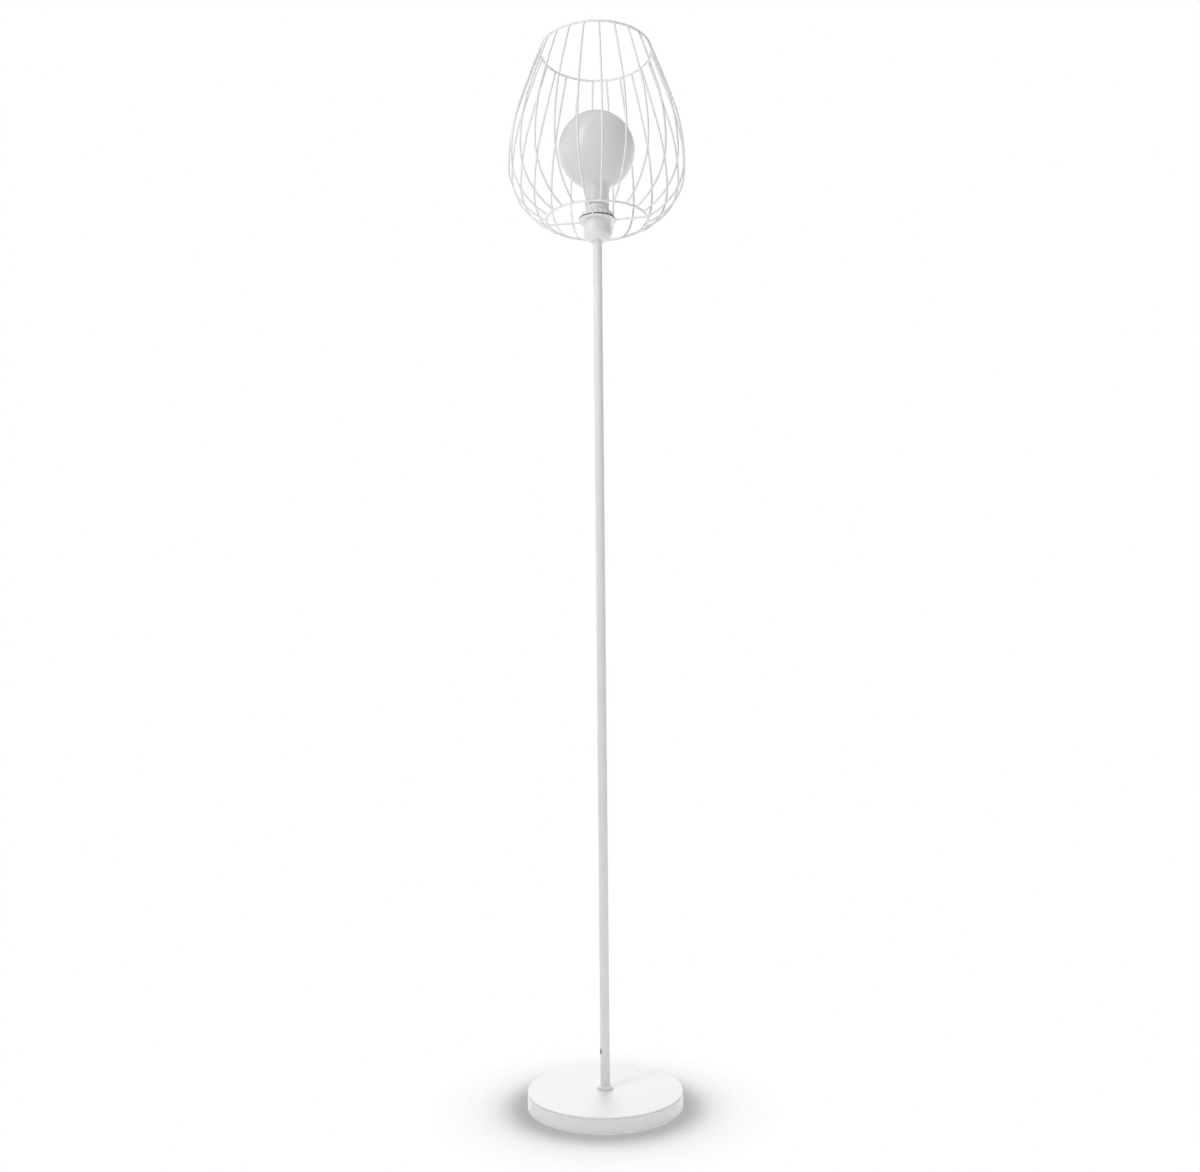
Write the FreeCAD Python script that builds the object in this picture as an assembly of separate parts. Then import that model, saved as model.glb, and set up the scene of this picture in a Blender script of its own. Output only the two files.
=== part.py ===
import FreeCAD, Part

import math
import os

from FreeCAD import Vector

# Wire cage floor lamp: a round weighted base, a thin pole, a screw-thread lampholder, a cage of
# curved wires clamped on the holder by a shade ring, and a large opal globe bulb.
#
# Millimetres. The origin is the centre of the base's underside, on the floor, and +Z runs up the
# pole. The four spokes of the cage lie along X and Y.

# ---- Base ----
BASE_RADIUS = 114.0
BASE_TOP = 24.2  # floor to the top of the cover
COVER_SHEET = 1.2
COVER_RIM_ROUND = 2.0
COVER_EDGE_LIFT = 1.0  # the cover's lower edge stands clear of the floor
PAD_THICKNESS = 2.0
PAD_MARGIN = 4.0  # the pad stops this far inside the edge of the weight
PAD_HOLE_MARGIN = 6.0  # and this far outside the recess for the bolt
WEIGHT_THICKNESS = 13.0
WEIGHT_SIDE_GAP = 0.5
WEIGHT_EDGE_BEVEL = 1.5
WEIGHT_BOSS_RADIUS = 20.0  # the middle rises to carry the cover
WEIGHT_BOSS_ROUND = 3.0
RECESS_RADIUS = 15.0
RECESS_DEPTH = 9.5

# ---- Bolt from below ----
BOLT_RADIUS = 4.0
BOLT_LENGTH = 35.0
BOLT_HEAD_ACROSS_FLATS = 13.0
BOLT_HEAD_HEIGHT = 5.3
BOLT_HOLE_GAP = 0.5
WASHER_RADIUS = 12.0
WASHER_THICKNESS = 2.0
LOCK_WASHER_RADIUS = 6.6
LOCK_WASHER_THICKNESS = 1.6
LOCK_WASHER_SPLIT = 1.2

# ---- Pole ----
POLE_RADIUS = 7.0
POLE_WALL = 1.0
POLE_LENGTH = 1283.5
COLLAR_RADIUS = 12.0
COLLAR_SIDE_HEIGHT = 3.9
COLLAR_HEIGHT = 5.4
COLLAR_ROUND = 1.5
FOOT_BUSH_LENGTH = 25.0
TOP_BUSH_LENGTH = 18.0

# ---- Cord outlet ----
OUTLET_HEIGHT = 54.3  # above the top of the base
OUTLET_TURN = 15.0  # degrees from -X towards -Y
OUTLET_RADIUS = 3.8
GROMMET_BORE_RADIUS = 2.8
GROMMET_LIP = 0.9  # lips overlap the hole's edge by this much
GROMMET_LIP_THICKNESS = 0.5
GROMMET_GAP = 0.05

# ---- Lampholder ----
NIPPLE_RADIUS = 5.0
NIPPLE_BORE_RADIUS = 3.6
NIPPLE_IN_POLE = 13.0
NIPPLE_IN_HOLDER = 6.8
CAP_RADIUS = 21.5
CAP_FOOT_RADIUS = 14.0
CAP_HEIGHT = 29.0
CAP_SHOULDER_HEIGHT = 8.5
CAP_SHOULDER_ROUND = 6.0
CAP_FOOT_ROUND = 1.5
CAP_WALL = 1.9
CAP_FLOOR = 2.5
CAP_LEDGE = 1.6
CAP_BOSS_RADIUS = 7.5
CAP_BOSS_HEIGHT = 7.0
GRUB_RADIUS = 1.5
GRUB_HEIGHT = 4.75  # above the foot of the holder
SKIRT_RADIUS = 18.7
SKIRT_FLANGE = 2.0
SKIRT_ENGAGEMENT = 10.0  # screwed this far into the cap
SKIRT_ABOVE_SEAT = 22.9
SKIRT_MOUTH_ROUND = 0.8
BLOCK_DISC_THICKNESS = 6.0
BLOCK_SIDE_GAP = 0.2
BLOCK_BOSS_GAP = 0.4
CLAMP_WIDTH = 6.0
CLAMP_DEPTH = 7.0
CLAMP_HEIGHT = 5.5
CLAMP_WIRE_HOLE_RADIUS = 1.3
SCREW_RADIUS = 1.5
SCREW_LENGTH = 4.0
SCREW_HEAD_RADIUS = 2.5
SCREW_HEAD_HEIGHT = 1.8
SCREW_SLOT_WIDTH = 0.8
SCREW_SLOT_DEPTH = 0.8
CONTACT_SHEET = 0.5
CONTACT_WIDTH = 5.0
CONTACT_RISE = 3.8  # from the block's boss to the bulb's contact
CONTACT_RIVET_RADIUS = 1.2
CONTACT_FOOT = 4.0
CONTACT_TOP = 4.0
CONTACT_SLOPE_RUN = 4.0
SIDE_CONTACT_HEIGHT = 19.0  # above the block's disc
SIDE_CONTACT_GAP = 0.3

# ---- Shade ring, gasket and cage hub ----
RING_RADIUS = 26.0
RING_HEIGHT = 7.9
RING_TOP_ROUND = 1.0
RING_FLUTES = 20
RING_FLUTE_RADIUS = 2.4
RING_FLUTE_DEPTH = 0.9
GASKET_RADIUS = 29.0
GASKET_THICKNESS = 2.0
HUB_RADIUS = 29.5
HUB_THICKNESS = 1.5
SLIP_GAP = 0.3  # hub and gasket slip over the threaded skirt

# ---- Cage ----
CAGE_HEIGHT = 276.0  # between the planes of the two rings
CAGE_WIRES = 24
CAGE_SPOKES = 4
CAGE_WIRE_RADIUS = 1.5
CAGE_RING_WIRE_RADIUS = 1.75
LOWER_RING_RADIUS = 79.2
UPPER_RING_RADIUS = 88.0
BELLY_RADIUS = 138.0
BELLY_HEIGHT = 86.5  # of the widest point above the lower ring
LOWER_SLOPE = 23.0  # degrees above level where a wire leaves the lower ring
UPPER_LEAN = 22.0  # degrees from upright where it meets the upper ring

# ---- Bulb ----
GLOBE_RADIUS = 60.0
GLOBE_WALL = 1.0
GLOBE_ABOVE_CAP = 90.0  # globe's centre above the rim of the screw cap
NECK_RADIUS = 19.0
NECK_BLEND = 18.0
NECK_SHOULDER_ROUND = 3.0
NECK_SEAT_GAP = 0.3
NECK_IN_CAP = 4.0
BULB_STANDOFF = 2.2  # rim of the screw cap above the holder's mouth
BULB_CAP_RADIUS = 13.2
BULB_CAP_WALL = 0.4
BULB_CAP_LENGTH = 27.0  # rim to contact
TIP_RADIUS = 4.8
TIP_HEIGHT = 1.5
TIP_ROUND = 0.7
INSULATOR_FOOT_RADIUS = 6.5
INSULATOR_HEIGHT = 4.0
INSULATOR_IN_CAP = 2.0
STEM_FLARE_THICKNESS = 1.0
STEM_RADIUS = 3.5
STEM_WAIST_HEIGHT = 15.5  # where the flare has drawn in to the stalk
STEM_HEIGHT = 46.0  # above the rim of the screw cap
STEM_ROD_RADIUS = 1.6
STEM_ROD_ABOVE_CENTRE = 18.0
FILAMENTS = 4
FILAMENT_RADIUS = 0.9
FILAMENT_LENGTH = 38.0
FILAMENT_FOOT_RADIUS = 9.5
FILAMENT_HEAD_RADIUS = 6.5
FILAMENT_END_GAP = 0.1
LEAD_RADIUS = 0.5

# ---- Fits ----
THREAD_GAP = 0.05  # radial, between pieces that are screwed or pressed together
RUNNING_GAP = 0.08  # radial, where a thread is turned in use
CUT_PAST = 1.0  # a cut runs this far past the faces that it opens

# ---- Heights that follow from the sizes above ----
WEIGHT_BOTTOM = PAD_THICKNESS
COVER_INSIDE_TOP = BASE_TOP - COVER_SHEET
RECESS_TOP = WEIGHT_BOTTOM + RECESS_DEPTH
POLE_INNER_RADIUS = POLE_RADIUS - POLE_WALL
POLE_FOOT = BASE_TOP
POLE_TOP = POLE_FOOT + POLE_LENGTH
OUTLET_Z = BASE_TOP + OUTLET_HEIGHT
CAP_RIM = POLE_TOP + CAP_HEIGHT
CAP_INNER_RADIUS = CAP_RADIUS - CAP_WALL
SKIRT_BOTTOM = CAP_RIM - SKIRT_ENGAGEMENT
SKIRT_BORE_RADIUS = BULB_CAP_RADIUS + RUNNING_GAP
BLOCK_LEDGE = SKIRT_BOTTOM - BLOCK_DISC_THICKNESS
HUB_SEAT = CAP_RIM + SKIRT_FLANGE
SKIRT_TOP = HUB_SEAT + SKIRT_ABOVE_SEAT
CAGE_PLANE = HUB_SEAT + HUB_THICKNESS / 2
GASKET_BOTTOM = HUB_SEAT + HUB_THICKNESS
RING_BOTTOM = GASKET_BOTTOM + GASKET_THICKNESS
BULB_CAP_RIM = SKIRT_TOP + BULB_STANDOFF
BULB_TIP = BULB_CAP_RIM - BULB_CAP_LENGTH
BULB_SHELL_BOTTOM = BULB_TIP + TIP_HEIGHT + INSULATOR_HEIGHT
GLOBE_CENTRE = BULB_CAP_RIM + GLOBE_ABOVE_CAP
BLOCK_BOSS_TOP = BULB_TIP - CONTACT_RISE
SIDE_CONTACT_X = BULB_CAP_RADIUS + SIDE_CONTACT_GAP

ORIGIN = Vector(0, 0, 0)
X_AXIS = Vector(1, 0, 0)
Y_AXIS = Vector(0, 1, 0)
Z_AXIS = Vector(0, 0, 1)


# ---- Outlines and simple solids ----
def corner_cut(before, corner, after, radius):
    """Start, middle and end of the tangent arc that rounds a corner, or the corner alone."""
    if radius <= 0:
        return [corner]
    back = (before - corner).normalize()
    onward = (after - corner).normalize()
    half_angle = back.getAngle(onward) / 2
    run = radius / math.tan(half_angle)
    inward = (back + onward).normalize()
    middle = corner + inward * (radius / math.sin(half_angle) - radius)
    return [corner + back * run, middle, corner + onward * run]


def outline_face(corners):
    """Face in the XZ plane from corners (r, z), or (r, z, radius) where a corner is rounded."""
    points = [Vector(corner[0], 0, corner[1]) for corner in corners]
    radii = [corner[2] if len(corner) > 2 else 0 for corner in corners]
    count = len(points)
    cuts = [
        corner_cut(points[i - 1], points[i], points[(i + 1) % count], radii[i])
        for i in range(count)
    ]
    edges = []
    for cut, following in zip(cuts, cuts[1:] + cuts[:1]):
        if len(cut) == 3:
            edges.append(Part.Arc(*cut).toShape())
        edges.append(Part.LineSegment(cut[-1], following[0]).toShape())
    return Part.Face(Part.Wire(edges))


def turned(corners):
    """Solid turned about the pole's axis from an outline."""
    return outline_face(corners).revolve(ORIGIN, Z_AXIS, 360)


def rod(radius, start, end):
    """Round rod between two points."""
    run = end - start
    return Part.makeCylinder(radius, run.Length, start, run)


def upright(radius, bottom, top, x=0.0, y=0.0):
    """Upright cylinder between two heights."""
    return Part.makeCylinder(radius, top - bottom, Vector(x, y, bottom))


def block(x_range, y_range, z_range):
    """Box between low and high values on each axis."""
    low = Vector(x_range[0], y_range[0], z_range[0])
    return Part.makeBox(
        x_range[1] - x_range[0], y_range[1] - y_range[0], z_range[1] - z_range[0], low
    )


def about_axis(shape, degrees):
    """Copy of a shape turned about the pole's axis."""
    copy = shape.copy()
    copy.rotate(ORIGIN, Z_AXIS, degrees)
    return copy


def ring_of(shape, count):
    """Separate copies of a shape spaced evenly round the pole's axis."""
    return Part.makeCompound([about_axis(shape, 360 * i / count) for i in range(count)])


# ---- Base ----
def base_pad():
    """Foam pad under the weight; its underside is the face that the lamp stands on."""
    weight_radius = BASE_RADIUS - COVER_SHEET - WEIGHT_SIDE_GAP
    inner = RECESS_RADIUS + PAD_HOLE_MARGIN
    outer = weight_radius - PAD_MARGIN
    return turned([(inner, 0), (outer, 0), (outer, PAD_THICKNESS), (inner, PAD_THICKNESS)])


def base_weight():
    """Cast disc with a raised middle that carries the cover, and a recess below for the bolt."""
    outer = BASE_RADIUS - COVER_SHEET - WEIGHT_SIDE_GAP
    hole = BOLT_RADIUS + BOLT_HOLE_GAP
    disc_top = WEIGHT_BOTTOM + WEIGHT_THICKNESS
    return turned(
        [
            (hole, RECESS_TOP),
            (RECESS_RADIUS, RECESS_TOP),
            (RECESS_RADIUS, WEIGHT_BOTTOM),
            (outer - WEIGHT_EDGE_BEVEL, WEIGHT_BOTTOM),
            (outer, WEIGHT_BOTTOM + WEIGHT_EDGE_BEVEL),
            (outer, disc_top - WEIGHT_EDGE_BEVEL),
            (outer - WEIGHT_EDGE_BEVEL, disc_top),
            (WEIGHT_BOSS_RADIUS + WEIGHT_BOSS_ROUND, disc_top, WEIGHT_BOSS_ROUND),
            (WEIGHT_BOSS_RADIUS, COVER_INSIDE_TOP),
            (hole, COVER_INSIDE_TOP),
        ]
    )


def base_cover():
    """Pressed sheet cover with a rounded rim, clamped between the weight and the pole's foot."""
    hole = BOLT_RADIUS + BOLT_HOLE_GAP
    inner = BASE_RADIUS - COVER_SHEET
    return turned(
        [
            (hole, BASE_TOP),
            (hole, COVER_INSIDE_TOP),
            (inner, COVER_INSIDE_TOP, COVER_RIM_ROUND - COVER_SHEET),
            (inner, COVER_EDGE_LIFT),
            (BASE_RADIUS, COVER_EDGE_LIFT),
            (BASE_RADIUS, BASE_TOP, COVER_RIM_ROUND),
        ]
    )


def base_washer():
    """Flat washer at the top of the recess."""
    hole = BOLT_RADIUS + BOLT_HOLE_GAP
    bottom = RECESS_TOP - WASHER_THICKNESS
    corners = [(hole, bottom), (WASHER_RADIUS, bottom), (WASHER_RADIUS, RECESS_TOP)]
    return turned(corners + [(hole, RECESS_TOP)])


def base_lock_washer():
    """Split spring washer between the flat washer and the bolt's head."""
    hole = BOLT_RADIUS + BOLT_HOLE_GAP
    top = RECESS_TOP - WASHER_THICKNESS
    bottom = top - LOCK_WASHER_THICKNESS
    corners = [(hole, bottom), (LOCK_WASHER_RADIUS, bottom), (LOCK_WASHER_RADIUS, top)]
    half = LOCK_WASHER_SPLIT / 2
    split = block((0, 2 * LOCK_WASHER_RADIUS), (-half, half), (bottom - CUT_PAST, top + CUT_PAST))
    return turned(corners + [(hole, top)]).cut(split)


def base_bolt():
    """Hexagon bolt that draws the pole's foot down on to the cover and the weight."""
    head_top = RECESS_TOP - WASHER_THICKNESS - LOCK_WASHER_THICKNESS
    corner_radius = BOLT_HEAD_ACROSS_FLATS / math.sqrt(3)
    turns = [math.radians(turn) for turn in range(0, 360, 60)]
    bottom = head_top - BOLT_HEAD_HEIGHT
    corners = [
        Vector(corner_radius * math.cos(a), corner_radius * math.sin(a), bottom) for a in turns
    ]
    hexagon = Part.Face(Part.makePolygon(corners + corners[:1]))
    head = hexagon.extrude(Z_AXIS * BOLT_HEAD_HEIGHT)
    shank = upright(BOLT_RADIUS, head_top, head_top + BOLT_LENGTH)
    return head.fuse(shank).removeSplitter()


# ---- Pole ----
def pole_tube():
    """Steel tube from the base to the lampholder, with the cord's outlet hole near its foot."""
    tube = upright(POLE_RADIUS, POLE_FOOT, POLE_TOP)
    bore = upright(POLE_INNER_RADIUS, POLE_FOOT, POLE_TOP)
    hole = rod(OUTLET_RADIUS, Vector(0, 0, OUTLET_Z), Vector(-2 * POLE_RADIUS, 0, OUTLET_Z))
    return tube.cut(bore).cut(about_axis(hole, OUTLET_TURN))


def pole_collar():
    """Moulded collar that hides the joint between pole and base."""
    inner = POLE_RADIUS + THREAD_GAP
    return turned(
        [
            (inner, BASE_TOP),
            (COLLAR_RADIUS, BASE_TOP),
            (COLLAR_RADIUS, BASE_TOP + COLLAR_SIDE_HEIGHT, COLLAR_ROUND),
            (inner, BASE_TOP + COLLAR_HEIGHT),
        ]
    )


def pole_bush(bottom, top, bore):
    """Threaded bush pressed into an end of the pole."""
    outer = POLE_INNER_RADIUS - THREAD_GAP
    return turned([(bore, bottom), (outer, bottom), (outer, top), (bore, top)])


def pole_foot_bush():
    """Bush in the pole's foot that takes the bolt."""
    return pole_bush(POLE_FOOT, POLE_FOOT + FOOT_BUSH_LENGTH, BOLT_RADIUS + THREAD_GAP)


def pole_top_bush():
    """Bush in the pole's top that takes the holder's nipple."""
    return pole_bush(POLE_TOP - TOP_BUSH_LENGTH, POLE_TOP, NIPPLE_RADIUS + THREAD_GAP)


def cord_grommet():
    """Snap-in grommet in the outlet hole, with a curved lip inside and outside the tube."""
    centre = Vector(0, 0, OUTLET_Z)
    outside = Vector(-2 * POLE_RADIUS, 0, OUTLET_Z)
    reach = OUTLET_RADIUS + GROMMET_LIP
    low, high = OUTLET_Z - 2 * reach, OUTLET_Z + 2 * reach

    def sleeve(inner, outer):
        return upright(outer, low, high).cut(upright(inner, low, high))

    outer_lip = sleeve(POLE_RADIUS, POLE_RADIUS + GROMMET_LIP_THICKNESS)
    inner_lip = sleeve(POLE_INNER_RADIUS - GROMMET_LIP_THICKNESS, POLE_INNER_RADIUS)
    wall = sleeve(
        POLE_INNER_RADIUS - GROMMET_LIP_THICKNESS, POLE_RADIUS + GROMMET_LIP_THICKNESS
    )
    lips = outer_lip.fuse(inner_lip).common(rod(reach, centre, outside))
    barrel = wall.common(rod(OUTLET_RADIUS - GROMMET_GAP, centre, outside))
    grommet = lips.fuse(barrel).cut(rod(GROMMET_BORE_RADIUS, centre, outside))
    return about_axis(grommet, OUTLET_TURN)


# ---- Lampholder ----
def holder_nipple():
    """Hollow threaded nipple that joins the holder to the pole and passes the cord."""
    bottom, top = POLE_TOP - NIPPLE_IN_POLE, POLE_TOP + NIPPLE_IN_HOLDER
    inner, outer = NIPPLE_BORE_RADIUS, NIPPLE_RADIUS
    return turned([(inner, bottom), (outer, bottom), (outer, top), (inner, top)])


def holder_cap():
    """Moulded cup of the lampholder, with a threaded boss inside its foot and a ledge."""
    bore = NIPPLE_RADIUS + THREAD_GAP
    ledge_radius = CAP_INNER_RADIUS - CAP_LEDGE
    shoulder = POLE_TOP + CAP_SHOULDER_HEIGHT
    floor = POLE_TOP + CAP_FLOOR
    boss_top = POLE_TOP + CAP_BOSS_HEIGHT
    shell = turned(
        [
            (bore, POLE_TOP),
            (CAP_FOOT_RADIUS, POLE_TOP, CAP_FOOT_ROUND),
            (CAP_RADIUS, shoulder, CAP_SHOULDER_ROUND),
            (CAP_RADIUS, CAP_RIM),
            (CAP_INNER_RADIUS, CAP_RIM),
            (CAP_INNER_RADIUS, BLOCK_LEDGE),
            (ledge_radius, BLOCK_LEDGE),
            (ledge_radius, shoulder),
            (CAP_FOOT_RADIUS - CAP_WALL / 2, floor),
            (CAP_BOSS_RADIUS, floor),
            (CAP_BOSS_RADIUS, boss_top),
            (bore, boss_top),
        ]
    )
    height = POLE_TOP + GRUB_HEIGHT
    start, end = Vector(0, 0, height), Vector(0, CAP_BOSS_RADIUS + THREAD_GAP, height)
    return shell.cut(rod(GRUB_RADIUS + THREAD_GAP, start, end))


def holder_grub_screw():
    """Grub screw in the boss that locks the nipple."""
    height = POLE_TOP + GRUB_HEIGHT
    start = Vector(0, NIPPLE_RADIUS + THREAD_GAP, height)
    end = Vector(0, CAP_BOSS_RADIUS, height)
    half = SCREW_SLOT_WIDTH / 2
    slot = block(
        (-half, half),
        (CAP_BOSS_RADIUS - SCREW_SLOT_DEPTH, CAP_BOSS_RADIUS + CUT_PAST),
        (height - 2 * GRUB_RADIUS, height + 2 * GRUB_RADIUS),
    )
    return rod(GRUB_RADIUS, start, end).cut(slot)


def clamp_x(side):
    """X range of the terminal clamp on one side, -1 or 1."""
    outer, inner = side * SIDE_CONTACT_X, side * (SIDE_CONTACT_X - CLAMP_WIDTH)
    return min(inner, outer), max(inner, outer)


def terminal_block():
    """Moulded block that carries the contacts, clamped between the cap's ledge and the skirt."""
    outer = CAP_INNER_RADIUS - BLOCK_SIDE_GAP
    boss = SKIRT_BORE_RADIUS - BLOCK_BOSS_GAP
    body = turned(
        [
            (0, BLOCK_LEDGE),
            (outer, BLOCK_LEDGE),
            (outer, SKIRT_BOTTOM),
            (boss, SKIRT_BOTTOM),
            (boss, BLOCK_BOSS_TOP),
            (0, BLOCK_BOSS_TOP),
        ]
    )
    half = CONTACT_WIDTH / 2 + THREAD_GAP
    slot_x = (SIDE_CONTACT_X, SIDE_CONTACT_X + CONTACT_SHEET + THREAD_GAP)
    slot = block(slot_x, (-half, half), (BLOCK_LEDGE - CUT_PAST, SKIRT_BOTTOM + CUT_PAST))
    rivet_hole = upright(
        CONTACT_RIVET_RADIUS + THREAD_GAP,
        BLOCK_LEDGE - CUT_PAST,
        BLOCK_BOSS_TOP + CUT_PAST,
        x=rivet_x(),
    )
    return body.cut(slot).cut(rivet_hole)


def rivet_x():
    """The rivet of the centre contact stands just inside the clamp below it."""
    return clamp_x(-1)[1] - CONTACT_RIVET_RADIUS


def terminal_clamps():
    """Two brass clamps under the block, one for each core of the cord."""
    clamps = []
    for side in (-1, 1):
        x_range = clamp_x(side)
        middle = sum(x_range) / 2
        half = CLAMP_DEPTH / 2
        body = block(x_range, (-half, half), (BLOCK_LEDGE - CLAMP_HEIGHT, BLOCK_LEDGE))
        wire_z = BLOCK_LEDGE - CLAMP_HEIGHT / 2
        past = half + CUT_PAST
        wire_hole = rod(
            CLAMP_WIRE_HOLE_RADIUS, Vector(middle, -past, wire_z), Vector(middle, past, wire_z)
        )
        screw_hole = upright(
            SCREW_RADIUS + THREAD_GAP,
            BLOCK_LEDGE - CLAMP_HEIGHT - CUT_PAST,
            BLOCK_LEDGE - CLAMP_HEIGHT + SCREW_LENGTH + THREAD_GAP,
            x=middle,
        )
        clamps.append(body.cut(wire_hole).cut(screw_hole))
    return Part.makeCompound(clamps)


def terminal_screws():
    """Slotted screw in each clamp, driven from below."""
    screws = []
    clamp_bottom = BLOCK_LEDGE - CLAMP_HEIGHT
    head_bottom = clamp_bottom - SCREW_HEAD_HEIGHT
    half = SCREW_SLOT_WIDTH / 2
    for side in (-1, 1):
        middle = sum(clamp_x(side)) / 2
        head = upright(SCREW_HEAD_RADIUS, head_bottom, clamp_bottom, x=middle)
        shank = upright(SCREW_RADIUS, head_bottom, clamp_bottom + SCREW_LENGTH, x=middle)
        slot = block(
            (middle - half, middle + half),
            (-2 * SCREW_HEAD_RADIUS, 2 * SCREW_HEAD_RADIUS),
            (head_bottom - CUT_PAST, head_bottom + SCREW_SLOT_DEPTH),
        )
        screws.append(head.fuse(shank).removeSplitter().cut(slot))
    return Part.makeCompound(screws)


def centre_contact():
    """Sprung brass leaf under the bulb's contact, riveted through the block to its clamp."""
    low, high = BLOCK_BOSS_TOP, BULB_TIP
    sheet = CONTACT_SHEET
    foot_start = rivet_x() - CONTACT_FOOT / 2
    foot_end = foot_start + CONTACT_FOOT
    top_start = foot_end + CONTACT_SLOPE_RUN
    top_end = top_start + CONTACT_TOP
    corners = [
        (foot_start, low),
        (foot_end, low),
        (top_start, high - sheet),
        (top_end, high - sheet),
        (top_end, high),
        (top_start - sheet / 2, high),
        (foot_end - sheet / 2, low + sheet),
        (foot_start, low + sheet),
    ]
    leaf = outline_face(corners).extrude(Y_AXIS * CONTACT_WIDTH)
    leaf.translate(Y_AXIS * (-CONTACT_WIDTH / 2))
    rivet = upright(CONTACT_RIVET_RADIUS, BLOCK_LEDGE, low + sheet, x=rivet_x())
    return leaf.fuse(rivet)


def side_contact():
    """Brass strip that stands beside the bulb's screw cap and reaches down to its clamp."""
    half = CONTACT_WIDTH / 2
    return block(
        (SIDE_CONTACT_X, SIDE_CONTACT_X + CONTACT_SHEET),
        (-half, half),
        (BLOCK_LEDGE - CLAMP_HEIGHT, SKIRT_BOTTOM + SIDE_CONTACT_HEIGHT),
    )


def holder_skirt():
    """Threaded skirt: screws into the cap, takes the bulb inside and the shade ring outside."""
    spigot = CAP_INNER_RADIUS - THREAD_GAP
    bore = SKIRT_BORE_RADIUS
    body = turned(
        [
            (bore, SKIRT_BOTTOM),
            (spigot, SKIRT_BOTTOM),
            (spigot, CAP_RIM),
            (CAP_RADIUS, CAP_RIM),
            (CAP_RADIUS, HUB_SEAT),
            (SKIRT_RADIUS, HUB_SEAT),
            (SKIRT_RADIUS, SKIRT_TOP, SKIRT_MOUTH_ROUND),
            (bore, SKIRT_TOP),
        ]
    )
    half = CONTACT_WIDTH / 2 + SIDE_CONTACT_GAP
    slot = block(
        (0, SIDE_CONTACT_X + CONTACT_SHEET + SIDE_CONTACT_GAP),
        (-half, half),
        (SKIRT_BOTTOM - CUT_PAST, SKIRT_BOTTOM + SIDE_CONTACT_HEIGHT + SIDE_CONTACT_GAP),
    )
    return body.cut(slot)


# ---- Shade ring ----
def shade_ring():
    """Fluted ring nut that screws down the skirt and clamps the cage."""
    bore = SKIRT_RADIUS + RUNNING_GAP
    top = RING_BOTTOM + RING_HEIGHT
    body = turned(
        [
            (bore, RING_BOTTOM),
            (RING_RADIUS, RING_BOTTOM),
            (RING_RADIUS, top, RING_TOP_ROUND),
            (bore, top),
        ]
    )
    flute_x = RING_RADIUS - RING_FLUTE_DEPTH + RING_FLUTE_RADIUS
    flute = upright(RING_FLUTE_RADIUS, RING_BOTTOM - CUT_PAST, top + CUT_PAST, x=flute_x)
    return body.cut(ring_of(flute, RING_FLUTES))


def ring_gasket():
    """Black gasket bonded under the shade ring."""
    inner = SKIRT_RADIUS + SLIP_GAP
    top = RING_BOTTOM
    corners = [(inner, GASKET_BOTTOM), (GASKET_RADIUS, GASKET_BOTTOM), (GASKET_RADIUS, top)]
    return turned(corners + [(inner, top)])


# ---- Cage ----
def tangent_arc(start, heading, end):
    """Arc from start to end that leaves along heading, all in the XZ plane."""
    chord = end - start
    turn = math.atan2(heading.z, heading.x) - math.atan2(chord.z, chord.x)
    side = Vector(-chord.z, 0, chord.x)
    middle = (start + end) * 0.5 + side * (0.5 * math.tan(turn / 2))
    return Part.Arc(start, middle, end).toShape()


def two_arcs(start, heading, end, arrival):
    """Two arcs, tangent to each other, from start along heading to end along arrival."""
    chord = end - start
    bend = 2 * (1 - heading.dot(arrival))
    along = chord.dot(heading + arrival)
    reach = (math.sqrt(along * along + bend * chord.dot(chord)) - along) / bend
    meeting = (start + end + (heading - arrival) * reach) * 0.5
    return [tangent_arc(start, heading, meeting), tangent_arc(end, arrival * -1, meeting)]


def lower_ring_solid():
    """Wire ring at the foot of the cage."""
    return Part.makeTorus(LOWER_RING_RADIUS, CAGE_RING_WIRE_RADIUS, Vector(0, 0, CAGE_PLANE))


def upper_ring_solid():
    """Wire ring round the mouth of the cage."""
    height = CAGE_PLANE + CAGE_HEIGHT
    return Part.makeTorus(UPPER_RING_RADIUS, CAGE_RING_WIRE_RADIUS, Vector(0, 0, height))


def wire_path():
    """Centre line of one wire: out from the lower ring, round the belly, up to the upper ring."""
    slope, lean = math.radians(LOWER_SLOPE), math.radians(UPPER_LEAN)
    foot = Vector(LOWER_RING_RADIUS, 0, CAGE_PLANE)
    belly = Vector(BELLY_RADIUS, 0, CAGE_PLANE + BELLY_HEIGHT)
    head = Vector(UPPER_RING_RADIUS, 0, CAGE_PLANE + CAGE_HEIGHT)
    leaving = Vector(math.cos(slope), 0, math.sin(slope))
    arriving = Vector(-math.sin(lean), 0, math.cos(lean))
    edges = two_arcs(foot, leaving, belly, Z_AXIS) + two_arcs(belly, Z_AXIS, head, arriving)
    return Part.Wire(Part.__sortEdges__(edges)), foot, leaving


def cage_wires():
    """Bent wires of the cage, each notched at both ends to sit on the rings it is welded to."""
    path, foot, leaving = wire_path()
    section = Part.Wire([Part.Circle(foot, leaving, CAGE_WIRE_RADIUS).toShape()])
    wire = path.makePipeShell([section], True, False)
    wire = wire.cut(lower_ring_solid()).cut(upper_ring_solid())
    return ring_of(wire.Solids[0], CAGE_WIRES)


def cage_hub():
    """Flat hub plate that sits on the holder's flange."""
    inner = SKIRT_RADIUS + SLIP_GAP
    top = HUB_SEAT + HUB_THICKNESS
    return turned([(inner, HUB_SEAT), (HUB_RADIUS, HUB_SEAT), (HUB_RADIUS, top), (inner, top)])


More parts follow.
